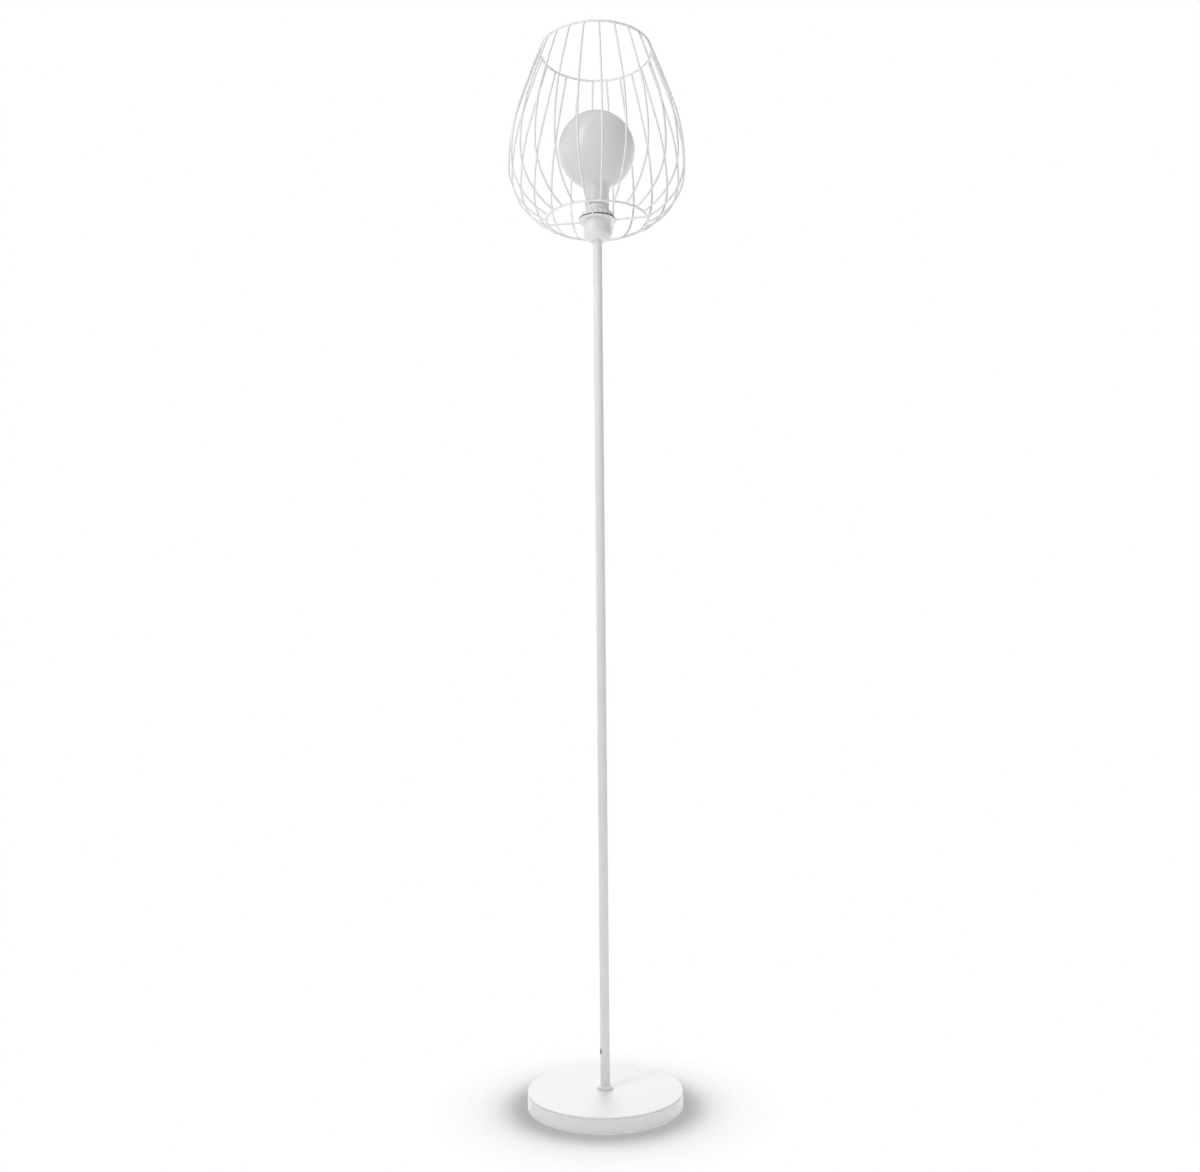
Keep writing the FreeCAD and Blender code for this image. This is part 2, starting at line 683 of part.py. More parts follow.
def cage_spokes():
    """Straight wires between the hub's rim and the lower ring, notched to fit both."""
    start = Vector(HUB_RADIUS - CAGE_WIRE_RADIUS, 0, CAGE_PLANE)
    spoke = rod(CAGE_WIRE_RADIUS, start, Vector(LOWER_RING_RADIUS, 0, CAGE_PLANE))
    rim = upright(HUB_RADIUS, CAGE_PLANE - HUB_RADIUS, CAGE_PLANE + HUB_RADIUS)
    return ring_of(spoke.cut(rim).cut(lower_ring_solid()).Solids[0], CAGE_SPOKES)


# ---- Bulb ----
def bulb_contact():
    """Solder contact at the foot of the bulb."""
    top = BULB_TIP + TIP_HEIGHT
    return turned([(0, BULB_TIP), (TIP_RADIUS, BULB_TIP, TIP_ROUND), (TIP_RADIUS, top), (0, top)])


def bulb_insulator():
    """Black glass insulator between the contact and the screw shell."""
    bottom = BULB_TIP + TIP_HEIGHT
    outer = BULB_CAP_RADIUS - BULB_CAP_WALL - THREAD_GAP
    return turned(
        [
            (0, bottom),
            (INSULATOR_FOOT_RADIUS, bottom),
            (outer, BULB_SHELL_BOTTOM),
            (outer, BULB_SHELL_BOTTOM + INSULATOR_IN_CAP),
            (0, BULB_SHELL_BOTTOM + INSULATOR_IN_CAP),
        ]
    )


def bulb_cap():
    """Screw shell of the bulb."""
    inner = BULB_CAP_RADIUS - BULB_CAP_WALL
    return turned(
        [
            (inner, BULB_SHELL_BOTTOM),
            (BULB_CAP_RADIUS, BULB_SHELL_BOTTOM),
            (BULB_CAP_RADIUS, BULB_CAP_RIM),
            (inner, BULB_CAP_RIM),
        ]
    )


def globe_side(inset):
    """Edges of the globe's wall, from the foot of its neck to its top, moved inwards by inset."""
    neck = NECK_RADIUS - inset
    blend = NECK_BLEND + inset
    globe = GLOBE_RADIUS - inset
    foot_radius = BULB_CAP_RADIUS - BULB_CAP_WALL - NECK_SEAT_GAP - inset
    shoulder = BULB_CAP_RIM + NECK_SEAT_GAP + inset
    corner_round = NECK_SHOULDER_ROUND - inset
    foot = Vector(foot_radius, 0, BULB_CAP_RIM - NECK_IN_CAP)
    inside_corner = Vector(foot_radius, 0, shoulder)
    blend_drop = math.sqrt((globe + blend) ** 2 - (neck + blend) ** 2)
    neck_top = Vector(neck, 0, GLOBE_CENTRE - blend_drop)
    blend_centre = Vector(neck + blend, 0, neck_top.z)
    centre = Vector(0, 0, GLOBE_CENTRE)
    to_globe = (centre - blend_centre).normalize()
    globe_start = blend_centre + to_globe * blend
    blend_middle = blend_centre + (to_globe - X_AXIS).normalize() * blend
    top = centre + Z_AXIS * globe
    globe_middle = centre + ((globe_start - centre).normalize() + Z_AXIS).normalize() * globe
    turn = corner_cut(inside_corner, Vector(neck, 0, shoulder), neck_top, corner_round)
    return foot, top, [
        Part.LineSegment(foot, inside_corner).toShape(),
        Part.LineSegment(inside_corner, turn[0]).toShape(),
        Part.Arc(*turn).toShape(),
        Part.LineSegment(turn[-1], neck_top).toShape(),
        Part.Arc(neck_top, blend_middle, globe_start).toShape(),
        Part.Arc(globe_start, globe_middle, top).toShape(),
    ]


def bulb_globe():
    """Opal glass envelope: a globe blended into a neck whose foot stands in the screw shell."""
    outer_foot, outer_top, outer = globe_side(0)
    inner_foot, inner_top, inner = globe_side(GLOBE_WALL)
    ends = [
        Part.LineSegment(outer_top, inner_top).toShape(),
        Part.LineSegment(inner_foot, outer_foot).toShape(),
    ]
    wire = Part.Wire(Part.__sortEdges__(outer + inner + ends))
    return Part.Face(wire).revolve(ORIGIN, Z_AXIS, 360)


def bulb_stem():
    """Glass stem: a flared foot in the neck, a stalk, and a thin rod between the filaments."""
    flare = BULB_CAP_RADIUS - BULB_CAP_WALL - NECK_SEAT_GAP - GLOBE_WALL - THREAD_GAP
    foot = BULB_CAP_RIM - NECK_IN_CAP
    head = BULB_CAP_RIM + STEM_HEIGHT
    rod_top = GLOBE_CENTRE + STEM_ROD_ABOVE_CENTRE
    return turned(
        [
            (0, foot),
            (flare, foot),
            (flare, foot + STEM_FLARE_THICKNESS),
            (STEM_RADIUS, BULB_CAP_RIM + STEM_WAIST_HEIGHT, STEM_RADIUS),
            (STEM_RADIUS, head),
            (STEM_ROD_RADIUS, head),
            (STEM_ROD_RADIUS, rod_top),
            (0, rod_top),
        ]
    )


def filament_heights():
    """Heights of the two wire hoops that hold the filaments."""
    middle = (BULB_CAP_RIM + STEM_HEIGHT + GLOBE_CENTRE + STEM_ROD_ABOVE_CENTRE) / 2
    lean = FILAMENT_FOOT_RADIUS - FILAMENT_HEAD_RADIUS
    half = math.sqrt(FILAMENT_LENGTH**2 - lean**2) / 2
    return middle - half, middle + half


def filament_leads():
    """A lower and an upper wire hoop, each carried from the stem by two arms."""
    hoops = []
    for radius, height in zip((FILAMENT_FOOT_RADIUS, FILAMENT_HEAD_RADIUS), filament_heights()):
        hoop = Part.makeTorus(radius, LEAD_RADIUS, Vector(0, 0, height))
        arm = rod(LEAD_RADIUS, Vector(-radius, 0, height), Vector(radius, 0, height))
        past = LEAD_RADIUS + CUT_PAST
        stem = upright(stem_radius_at(height), height - past, height + past)
        hoops.append(hoop.fuse(arm.cut(stem)))
    return Part.makeCompound(hoops)


def stem_radius_at(height):
    """Radius of the stem at a height above its flare."""
    return STEM_RADIUS if height < BULB_CAP_RIM + STEM_HEIGHT else STEM_ROD_RADIUS


def bulb_filaments():
    """Straight filaments between the two hoops."""
    low, high = filament_heights()
    foot = Vector(0, FILAMENT_FOOT_RADIUS, low)
    head = Vector(0, FILAMENT_HEAD_RADIUS, high)
    inset = (head - foot).normalize() * (LEAD_RADIUS + FILAMENT_END_GAP)
    filament = rod(FILAMENT_RADIUS, foot + inset, head - inset)
    return about_axis(ring_of(filament, FILAMENTS), 180 / FILAMENTS)


SUB_PARTS = {
    "base_pad": base_pad,
    "base_weight": base_weight,
    "base_cover": base_cover,
    "base_washer": base_washer,
    "base_lock_washer": base_lock_washer,
    "base_bolt": base_bolt,
    "pole_tube": pole_tube,
    "pole_collar": pole_collar,
    "pole_foot_bush": pole_foot_bush,
    "pole_top_bush": pole_top_bush,
    "cord_grommet": cord_grommet,
    "holder_nipple": holder_nipple,
    "holder_cap": holder_cap,
    "holder_grub_screw": holder_grub_screw,
    "terminal_block": terminal_block,
    "terminal_clamps": terminal_clamps,
    "terminal_screws": terminal_screws,
    "centre_contact": centre_contact,
    "side_contact": side_contact,
    "holder_skirt": holder_skirt,
    "ring_gasket": ring_gasket,
    "shade_ring": shade_ring,
    "cage_hub": cage_hub,
    "cage_spokes": cage_spokes,
    "cage_lower_ring": lower_ring_solid,
    "cage_wires": cage_wires,
    "cage_upper_ring": upper_ring_solid,
    "bulb_contact": bulb_contact,
    "bulb_insulator": bulb_insulator,
    "bulb_cap": bulb_cap,
    "bulb_globe": bulb_globe,
    "bulb_stem": bulb_stem,
    "filament_leads": filament_leads,
    "bulb_filaments": bulb_filaments,
}

os.makedirs("parts", exist_ok=True)
for name, make in SUB_PARTS.items():
    shape = make()
    shape.exportStep(f"parts/{name}.step")
    print(f"{name}: {len(shape.Solids)} solids, {shape.Volume / 1000:.2f} cm3, valid {shape.isValid()}")
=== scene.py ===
"""A white wire cage floor lamp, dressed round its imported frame.

Lengths are in metres, and MM turns a size in millimetres into them. The pole stands on the Z axis,
and one of the cage's four spokes lies along +X. Heights come from the boxes of the frame's nodes;
the sizes that a box can't tell are fields of the class that uses them. Every new piece is a surface
worked out on a grid of points: an outline carried round the pole's axis, a round section carried
along a bent wire, or a patch wrapped on the pole.
"""

import logging
import math
from dataclasses import dataclass, field
from enum import Enum
from typing import Callable, Sequence

import bmesh
import bpy
import numpy as np
from mathutils import Matrix, Vector

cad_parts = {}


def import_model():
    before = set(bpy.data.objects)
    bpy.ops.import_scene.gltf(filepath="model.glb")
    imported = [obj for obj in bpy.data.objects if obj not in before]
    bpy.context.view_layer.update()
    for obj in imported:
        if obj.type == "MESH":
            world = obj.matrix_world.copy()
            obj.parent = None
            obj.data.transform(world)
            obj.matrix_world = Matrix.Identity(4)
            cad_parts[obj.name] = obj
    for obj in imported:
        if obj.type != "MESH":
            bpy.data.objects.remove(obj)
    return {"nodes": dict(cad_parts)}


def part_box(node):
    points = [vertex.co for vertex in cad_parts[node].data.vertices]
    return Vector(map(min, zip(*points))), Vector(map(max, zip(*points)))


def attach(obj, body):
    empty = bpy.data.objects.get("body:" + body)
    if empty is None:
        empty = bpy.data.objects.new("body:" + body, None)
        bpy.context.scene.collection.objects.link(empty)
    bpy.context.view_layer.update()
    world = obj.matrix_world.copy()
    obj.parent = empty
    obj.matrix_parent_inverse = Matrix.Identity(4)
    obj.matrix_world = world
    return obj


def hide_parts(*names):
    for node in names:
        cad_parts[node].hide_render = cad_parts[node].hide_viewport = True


Array = np.ndarray
Shift = Callable[[Array, Array, Array], Array]
Colour = tuple[float, float, float]
Socket = bpy.types.NodeSocket
Value = float | tuple[float, ...] | Socket

MM = 0.001
TAU = 2.0 * math.pi
HAIR = 1e-6
RING_PITCH = 2.5 * MM
BULB_PITCH = 3.629 * MM
ROUND_THREAD = 0.3
UP = np.array([0.0, 1.0])
OUTWARDS = np.array([1.0, 0.0])
LOG = logging.getLogger("lamp")


# ---- Names ----
class Body(Enum):
    """The bodies of the frame that a piece can ride on."""

    STAND = "stand"
    GASKET = "gasket"
    RING = "ring"
    CAGE = "cage"
    BULB_TIP = "bulb_tip"
    BULB = "bulb"


class Slot(Enum):
    """The record's material slots."""

    WHITE_PAINT = "white_paint"
    CAST_IRON = "cast_iron"
    FOAM_PAD = "foam_pad"
    ZINC_STEEL = "zinc_steel"
    BRASS = "brass"
    WHITE_PLASTIC = "white_plastic"
    BLOCK_PLASTIC = "block_plastic"
    BLACK_RUBBER = "black_rubber"
    BLACK_GLASS = "black_glass"
    NICKEL_SHELL = "nickel_shell"
    OPAL_GLASS = "opal_glass"
    CLEAR_GLASS = "clear_glass"
    FILAMENT_COAT = "filament_coat"


class Wall(Enum):
    """The side of a threaded wall on which the thread's roots lie."""

    TOWARDS_AXIS = -1
    AWAY_FROM_AXIS = 1


# ---- Outlines and grids ----
@dataclass(frozen=True)
class Corner:
    """A corner of a turned outline, with the radius of the arc that rounds it and its runs."""

    r: float
    z: float
    round: float = 0.0
    steps: int = 6


@dataclass(frozen=True)
class NodeBox:
    """The lowest and highest corner of a node of the frame."""

    low: Vector
    high: Vector

    @classmethod
    def of(cls, node: str) -> "NodeBox":
        """The box of the node with that name."""
        return cls(*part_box(node))

    @property
    def bottom(self) -> float:
        """Height of the node's underside."""
        return self.low.z

    @property
    def top(self) -> float:
        """Height of the node's top."""
        return self.high.z

    @property
    def radius(self) -> float:
        """How far the node reaches from the axis along X."""
        return self.high.x


def unit(vector: Array) -> Array:
    """The vector at a length of one."""
    return vector / np.linalg.norm(vector)


def full_circle(count: int) -> Array:
    """Angles that divide the circle evenly, from 0."""
    return np.linspace(0.0, TAU, count, endpoint=False)


def smoothstep(low: float, high: float, value: Array) -> Array:
    """Rises from 0 at low to 1 at high as 3t^2 - 2t^3."""
    t = np.clip((value - low) / (high - low), 0.0, 1.0)
    return t * t * (3.0 - 2.0 * t)


def arc(centre: Array, first: Array, last: Array, steps: int) -> Array:
    """Evenly spaced points of the shorter arc from first to last round a centre.

    The points are centre + radius * (cos, sin) of angles that run evenly from the first point's
    to the last point's.

    Args:
        centre: centre (r, z) of the arc.
        first: the point where it starts.
        last: the point where it ends.
        steps: how many runs it is drawn with.

    Returns:
        Array of steps + 1 points.
    """
    start, end = first - centre, last - centre
    turn = math.atan2(start[0] * end[1] - start[1] * end[0], float(start @ end))
    angles = math.atan2(start[1], start[0]) + turn * np.linspace(0.0, 1.0, steps + 1)
    return centre + np.linalg.norm(start) * np.stack([np.cos(angles), np.sin(angles)], axis=1)


def rounded_corner(before: Array, corner: Array, after: Array, radius: float, steps: int) -> Array:
    """Points of one corner: itself, or the arc that touches both of its sides.

    The arc's centre is on the corner's bisector, radius / sin(half the angle) from the corner.

    Args:
        before: the corner before it.
        corner: the corner.
        after: the corner after it.
        radius: the arc's radius.
        steps: how many runs the arc is drawn with.

    Returns:
        Array of points (r, z).
    """
    if radius <= 0.0:
        return corner[None, :]
    back, onward = unit(before - corner), unit(after - corner)
    half = 0.5 * math.acos(float(np.clip(back @ onward, -1.0, 1.0)))
    run = radius / math.tan(half)
    centre = corner + unit(back + onward) * (radius / math.sin(half))
    return arc(centre, corner + back * run, corner + onward * run, steps)


def straight_run(start: Array, end: Array, longest: float, hold: float = 0.25 * MM) -> Array:
    """Points inside a straight run, without its ends.

    One point stands close to each end, so that the shading of a rounded corner doesn't spread over
    the flat beside it, and the rest divide what is between evenly.

    Args:
        start: where the run starts.
        end: where it ends.
        longest: the longest step between two points.
        hold: distance of the first and last point from the ends.

    Returns:
        Array of points (r, z), which is empty for a short run.
    """
    length = float(np.linalg.norm(end - start))
    if length < 4.0 * hold:
        return np.empty((0, 2))
    count = max(2, 1 + math.ceil((length - 2.0 * hold) / longest))
    share = np.linspace(hold / length, 1.0 - hold / length, count)[:, None]
    return start + (end - start) * share


def outline(corners: Sequence[Corner], closed: bool, longest: float) -> Array:
    """Points of a turned outline, anticlockwise round its solid with r to the right and z up.

    Args:
        corners: the outline's corners in order.
        closed: whether the last corner joins the first.
        longest: the longest step along a straight run.

    Returns:
        Array of points (r, z).
    """
    places = np.array([[corner.r, corner.z] for corner in corners])
    count = len(corners)
    bends = []
    for i, corner in enumerate(corners):
        sharp = not closed and i in (0, count - 1)
        sides = places[i - 1], places[i], places[(i + 1) % count]
        bends.append(rounded_corner(*sides, 0.0 if sharp else corner.round, corner.steps))
    parts = []
    for i, bend in enumerate(bends):
        parts.append(bend)
        if closed or i < count - 1:
            parts.append(straight_run(bend[-1], bends[(i + 1) % count][0], longest))
    return np.concatenate(parts)


def turned(points: Array, sides: int, shift: Shift | None = None) -> Array:
    """Carries an outline round the axis: (r cos a, r sin a, z) for a evenly round the circle.

    Args:
        points: the outline's points (r, z).
        sides: how many places the circle is divided into.
        shift: what is added to r at an angle, a radius and a height.

    Returns:
        Grid of points, angle by outline point.
    """
    angle = full_circle(sides)[:, None]
    r = np.repeat(points[None, :, 0], sides, axis=0)
    z = np.repeat(points[None, :, 1], sides, axis=0)
    if shift is not None:
        r = r + shift(angle, r, z)
    return np.stack([r * np.cos(angle), r * np.sin(angle), z], axis=-1)


def swept(path: Array, radius: float, sides: int) -> Array:
    """Carries a round section along a path that lies in the XZ plane.

    At each point of the path the section is path + radius * (cos b * across + sin b * Y), where
    across is square to the path in the XZ plane. A last row at each end has a radius of 0.

    Args:
        path: points (x, z).
        radius: the section's radius.
        sides: how many places the section is divided into.

    Returns:
        Grid of points, path point by section angle.
    """
    steps = np.gradient(path, axis=0)
    along = steps / np.linalg.norm(steps, axis=1, keepdims=True)
    widths = np.concatenate([[0.0], np.full(len(path), radius), [0.0]])[:, None]
    path = np.concatenate([path[:1], path, path[-1:]])
    along = np.concatenate([along[:1], along, along[-1:]])
    angle = full_circle(sides)[None, :]
    x = path[:, :1] + widths * np.cos(angle) * along[:, 1:]
    z = path[:, 1:] - widths * np.cos(angle) * along[:, :1]
    return np.stack([x, widths * np.sin(angle), z], axis=-1)


def copies_round(grid: Array, angles: Array) -> Array:
    """Copies of a grid turned about the axis: x cos a - y sin a, x sin a + y cos a, z.

    Args:
        grid: grid of points.
        angles: how far each copy is turned.

    Returns:
        Stack of grids, one for each angle.
    """
    shape = (len(angles),) + (1,) * (grid.ndim - 1)
    cosine, sine = np.cos(angles).reshape(shape), np.sin(angles).reshape(shape)
    x, y, z = grid[None, ..., 0], grid[None, ..., 1], grid[None, ..., 2]
    level = np.broadcast_to(z, np.broadcast_shapes(z.shape, cosine.shape))
    return np.stack([x * cosine - y * sine, x * sine + y * cosine, level], axis=-1)


@dataclass(frozen=True)
class Thread:
    """A right-handed thread on a turned wall.

    Attributes:
        wall: radius of the crests.
        bottom: height where the thread starts.
        top: height where it ends.
        pitch: rise of one turn.
        depth: how far the roots lie from the crests.
        roots: the side of the crests on which the roots lie.
        flatness: 0.1 for a round wave; larger values give flat crests and roots.
        run_out: height over which the thread fades at both ends.
        reach: how far from the wall a point may be and still be on it.
    """

    wall: float
    bottom: float
    top: float
    pitch: float
    depth: float
    roots: Wall = Wall.TOWARDS_AXIS
    flatness: float = 1.6
    run_out: float = 1.2 * MM
    reach: float = 0.3 * MM

    def shift(self, angle: Array, r: Array, z: Array) -> Array:
        """Change of radius at each point of the wall.

        The wave is tanh(flatness * cos p) brought to 0 to 1, with p = 2 pi z / pitch - angle. It
        is multiplied by the depth and by a smooth rise and fall at the thread's ends.

        Args:
            angle: angle of each row.
            r: radius of each point.
            z: height of each point.

        Returns:
            Array of changes, 0 away from the wall.
        """
        phase = TAU * z / self.pitch - angle
        wave = 0.5 - 0.5 * np.tanh(self.flatness * np.cos(phase)) / math.tanh(self.flatness)
        rise = smoothstep(self.bottom, self.bottom + self.run_out, z)
        fall = 1.0 - smoothstep(self.top - self.run_out, self.top, z)
        on_wall = np.abs(r - self.wall) < self.reach
        return self.roots.value * self.depth * wave * rise * fall * on_wall


class Surface:
    """A mesh put together from grids of points."""

    merge = 0.5e-6

    def __init__(self) -> None:
        """Starts with no points."""
        self._points: list[Array] = []
        self._quads: list[Array] = []
        self._count = 0

    def add(self, grid: Array, wrap_rows: bool = True, wrap_columns: bool = False) -> "Surface":
        """Adds a grid, or a stack of grids of one size.

        Each face joins the points (i, j), (i + 1, j), (i + 1, j + 1) and (i, j + 1).

        Args:
            grid: points of shape (..., rows, columns, 3).
            wrap_rows: whether the last row joins the first.
            wrap_columns: whether the last column joins the first.

        Returns:
            The surface, so that calls can be chained.
        """
        stack = grid.reshape((-1,) + grid.shape[-3:])
        layers, rows, columns, _ = stack.shape
        i, j = np.meshgrid(
            np.arange(rows if wrap_rows else rows - 1),
            np.arange(columns if wrap_columns else columns - 1),
            indexing="ij",
        )
        k, m = (i + 1) % rows, (j + 1) % columns
        corners = [i * columns + j, k * columns + j, k * columns + m, i * columns + m]
        quads = np.stack(corners, axis=-1).reshape(-1, 4)
        starts = self._count + np.arange(layers) * rows * columns
        self._quads.append((starts[:, None, None] + quads).reshape(-1, 4))
        self._points.append(stack.reshape(-1, 3))
        self._count += layers * rows * columns
        return self

    def mesh(self, name: str, crease: float) -> bpy.types.Mesh:
        """Makes the mesh: doubles merged, so that seams and poles are closed, and faces outwards.

        Args:
            name: name of the mesh.
            crease: angle in degrees above which an edge shows sharp.

        Returns:
            The mesh.
        """
        mesh = bpy.data.meshes.new(name)
        mesh.from_pydata(np.concatenate(self._points), [], np.concatenate(self._quads))
        work = bmesh.new()
        work.from_mesh(mesh)
        bmesh.ops.remove_doubles(work, verts=work.verts, dist=self.merge)
        bmesh.ops.recalc_face_normals(work, faces=work.faces)
        work.to_mesh(mesh)
        work.free()
        mesh.shade_smooth()
        mesh.set_sharp_from_angle(angle=math.radians(crease))
        return mesh


def lathe(
    corners: Sequence[Corner],
    sides: int,
    shift: Shift | None = None,
    closed: bool = True,
    longest: float = 20.0 * MM,
) -> Surface:
    """Carries a rounded outline round the axis.

    Args:
        corners: the outline's corners in order.
        sides: how many places the circle is divided into.
        shift: what is added to r at an angle, a radius and a height.
        closed: whether the last corner joins the first; an open outline ends on the axis.
        longest: the longest step along a straight run.

    Returns:
        The surface.
    """
    grid = turned(outline(corners, closed, longest), sides, shift)
    return Surface().add(grid, wrap_columns=closed)


def flat_ring(
    box: NodeBox, bore: float, bore_round: float, rim_round: float, sides: int
) -> Surface:
    """Ring with rounded edges that fills a node's box outside a bore.

    Args:
        box: the node's box.
        bore: radius of the bore.
        bore_round: radius that rounds the bore's edges.
        rim_round: radius that rounds the outer edges.
        sides: how many places the circle is divided into.

    Returns:
        The ring's surface.
    """
    corners = [
        Corner(bore, box.bottom, bore_round),
        Corner(box.radius, box.bottom, rim_round),
        Corner(box.radius, box.top, rim_round),
        Corner(bore, box.top, bore_round),
    ]
    return lathe(corners, sides)


# ---- Shader graphs and the effects that finishes share ----
class Graph:
    """Adds nodes to a material, world or node group and links them."""

    def __init__(self, tree: bpy.types.NodeTree) -> None:
        """Starts on an empty tree."""
        self.tree = tree
        self.tree.nodes.clear()

    def feed(self, node: bpy.types.Node, inputs: dict[str | int, Value]) -> None:
        """Gives a node's input sockets their values, or links them to other sockets.

        Args:
            node: the node.
            inputs: value or socket for each of its input sockets.
        """
        for name, value in inputs.items():
            if isinstance(value, Socket):
                self.tree.links.new(value, node.inputs[name])
            else:
                node.inputs[name].default_value = value

    def add(
        self, kind: str, inputs: dict[str | int, Value], **settings: object
    ) -> bpy.types.Node:
        """Adds a node.

        Args:
            kind: the node's type name.
            inputs: value or socket for each of its input sockets.
            settings: the node's own settings.

        Returns:
            The node.
        """
        node = self.tree.nodes.new(kind)
        for name, value in settings.items():
            setattr(node, name, value)
        self.feed(node, inputs)
        return node

    def math(self, operation: str, *values: Value) -> Socket:
        """Result of an operation on numbers."""
        node = self.add("ShaderNodeMath", dict(enumerate(values)), operation=operation)
        return node.outputs[0]

    def place(self) -> Socket:
        """Object coordinates of the shaded point, in metres."""
        return self.add("ShaderNodeTexCoord", {}).outputs["Object"]

    def effect(self, effect: "Effect", inputs: dict[str, Value]) -> Socket:
        """Output of a shared effect, laid out in object coordinates."""
        inputs = {"Vector": self.place(), **inputs}
        return self.add("ShaderNodeGroup", inputs, node_tree=effect.value.group()).outputs[0]

    def relief(self, height: Socket, depth: float) -> Socket:
        """Normal of a surface whose relief is height times depth, in metres."""
        bump = self.add("ShaderNodeBump", {"Strength": 1.0, "Distance": depth, "Height": height})
        return bump.outputs["Normal"]

    def ranged(
        self, value: Socket, before: Sequence[Value], after: Sequence[Value], **settings: str
    ) -> Socket:
        """Brings a value from one range to another.

        Args:
            value: the value.
            before: lowest and highest value of its range.
            after: what these two become.
            settings: the node's own settings.

        Returns:
            The changed value.
        """
        limits = dict(zip(("From Min", "From Max", "To Min", "To Max"), (*before, *after)))
        return self.add("ShaderNodeMapRange", {"Value": value, **limits}, **settings).outputs[0]

    def choice(self, share: Value, first: Value, second: Value) -> Socket:
        """Number between two numbers, by a share of 0 to 1 of the second."""
        inputs = {0: share, 2: first, 3: second}
        return self.add("ShaderNodeMix", inputs, data_type="FLOAT").outputs[0]

    def blend(self, share: Socket, first: Colour, second: Colour) -> Socket:
        """Colour between two colours, by a share of 0 to 1 of the second."""
        inputs = {0: share, 6: (*first, 1.0), 7: (*second, 1.0)}
        return self.add("ShaderNodeMix", inputs, data_type="RGBA").outputs[2]


@dataclass(frozen=True)
class GroupRecipe:
    """A node group with named inputs and one output.

    Attributes:
        name: name of the group.
        inputs: name and default value of each number that it takes, after its Vector.
        output: name of the value that it gives.
        build: adds its nodes between the group's inputs and the socket that it returns.
    """

    name: str
    inputs: dict[str, float]
    output: str
    build: Callable[[Graph, bpy.types.NodeOutputs], Socket]

    def group(self) -> bpy.types.ShaderNodeTree:
        """The node group, built at its first use."""
        if self.name in bpy.data.node_groups:
            return bpy.data.node_groups[self.name]
        tree = bpy.data.node_groups.new(self.name, "ShaderNodeTree")
        tree.interface.new_socket("Vector", in_out="INPUT", socket_type="NodeSocketVector")
        for name, default in self.inputs.items():
            socket = tree.interface.new_socket(name, in_out="INPUT", socket_type="NodeSocketFloat")
            socket.default_value = default
        tree.interface.new_socket(self.output, in_out="OUTPUT", socket_type="NodeSocketFloat")
        graph = Graph(tree)
        result = self.build(graph, graph.add("NodeGroupInput", {}).outputs)
        graph.add("NodeGroupOutput", {self.output: result})
        return tree


def noise(graph: Graph, vector: Socket, size: Socket, inputs: dict[str, Value]) -> Socket:
    """Soft noise, with one over the size as its scale on metres.

    Args:
        graph: the graph that it is added to.
        vector: where it is read.
        size: width of its largest waves.
        inputs: the noise's other inputs.

    Returns:
        The noise, from 0 to 1.
    """
    scale = graph.math("DIVIDE", 1.0, size)
    return graph.add("ShaderNodeTexNoise", {"Vector": vector, "Scale": scale, **inputs}).outputs[0]


def soft_waves(graph: Graph, given: bpy.types.NodeOutputs) -> Socket:
    """Rounded waves with a little finer ripple, as on a coat that flowed out before it set."""
    inputs = {"Detail": given["Detail"], "Roughness": 0.35}
    return noise(graph, given["Vector"], given["Size"], inputs)


def slow_drift(graph: Graph, given: bpy.types.NodeOutputs) -> Socket:
    """Slow change from 0 to 1 over a hand's breadth, with its middle values stretched."""
    value = noise(graph, given["Vector"], given["Size"], {"Detail": 3.0})
    middle = [graph.math(kind, 0.5, given["Spread"]) for kind in ("SUBTRACT", "ADD")]
    return graph.ranged(value, middle, (0.0, 1.0))


def turning_marks(graph: Graph, given: bpy.types.NodeOutputs) -> Socket:
    """Fine rings round the axis and along it, as a lathe or a rolling die leaves them."""
    parts = graph.add("ShaderNodeSeparateXYZ", {"Vector": given["Vector"]}).outputs
    flat = graph.add("ShaderNodeCombineXYZ", {"X": parts["X"], "Y": parts["Y"]}).outputs[0]
    radius = graph.add("ShaderNodeVectorMath", {0: flat}, operation="LENGTH").outputs["Value"]
    rings = graph.add("ShaderNodeCombineXYZ", {"X": radius, "Z": parts["Z"]}).outputs[0]
    return noise(graph, rings, given["Size"], {"Detail": 2.0, "Roughness": 0.6})


def cells(graph: Graph, given: bpy.types.NodeOutputs) -> Socket:
    """Rounded cells or grains that meet in narrow low lines."""
    scale = graph.math("DIVIDE", 1.0, given["Size"])
    inputs = {"Vector": given["Vector"], "Scale": scale, "Smoothness": 0.35}
    voronoi = graph.add("ShaderNodeTexVoronoi", inputs, feature="SMOOTH_F1")
    return graph.math("SUBTRACT", 1.0, voronoi.outputs["Distance"])


class Effect(Enum):
    """The effects that finishes share."""

    SOFT_WAVES = GroupRecipe(
        "soft_waves", {"Size": 1.0 * MM, "Detail": 1.0}, "Height", soft_waves
    )
    SLOW_DRIFT = GroupRecipe(
        "slow_drift", {"Size": 60.0 * MM, "Spread": 0.2}, "Share", slow_drift
    )
    TURNING_MARKS = GroupRecipe("turning_marks", {"Size": 0.3 * MM}, "Height", turning_marks)
    CELLS = GroupRecipe("cells", {"Size": 1.0 * MM}, "Height", cells)


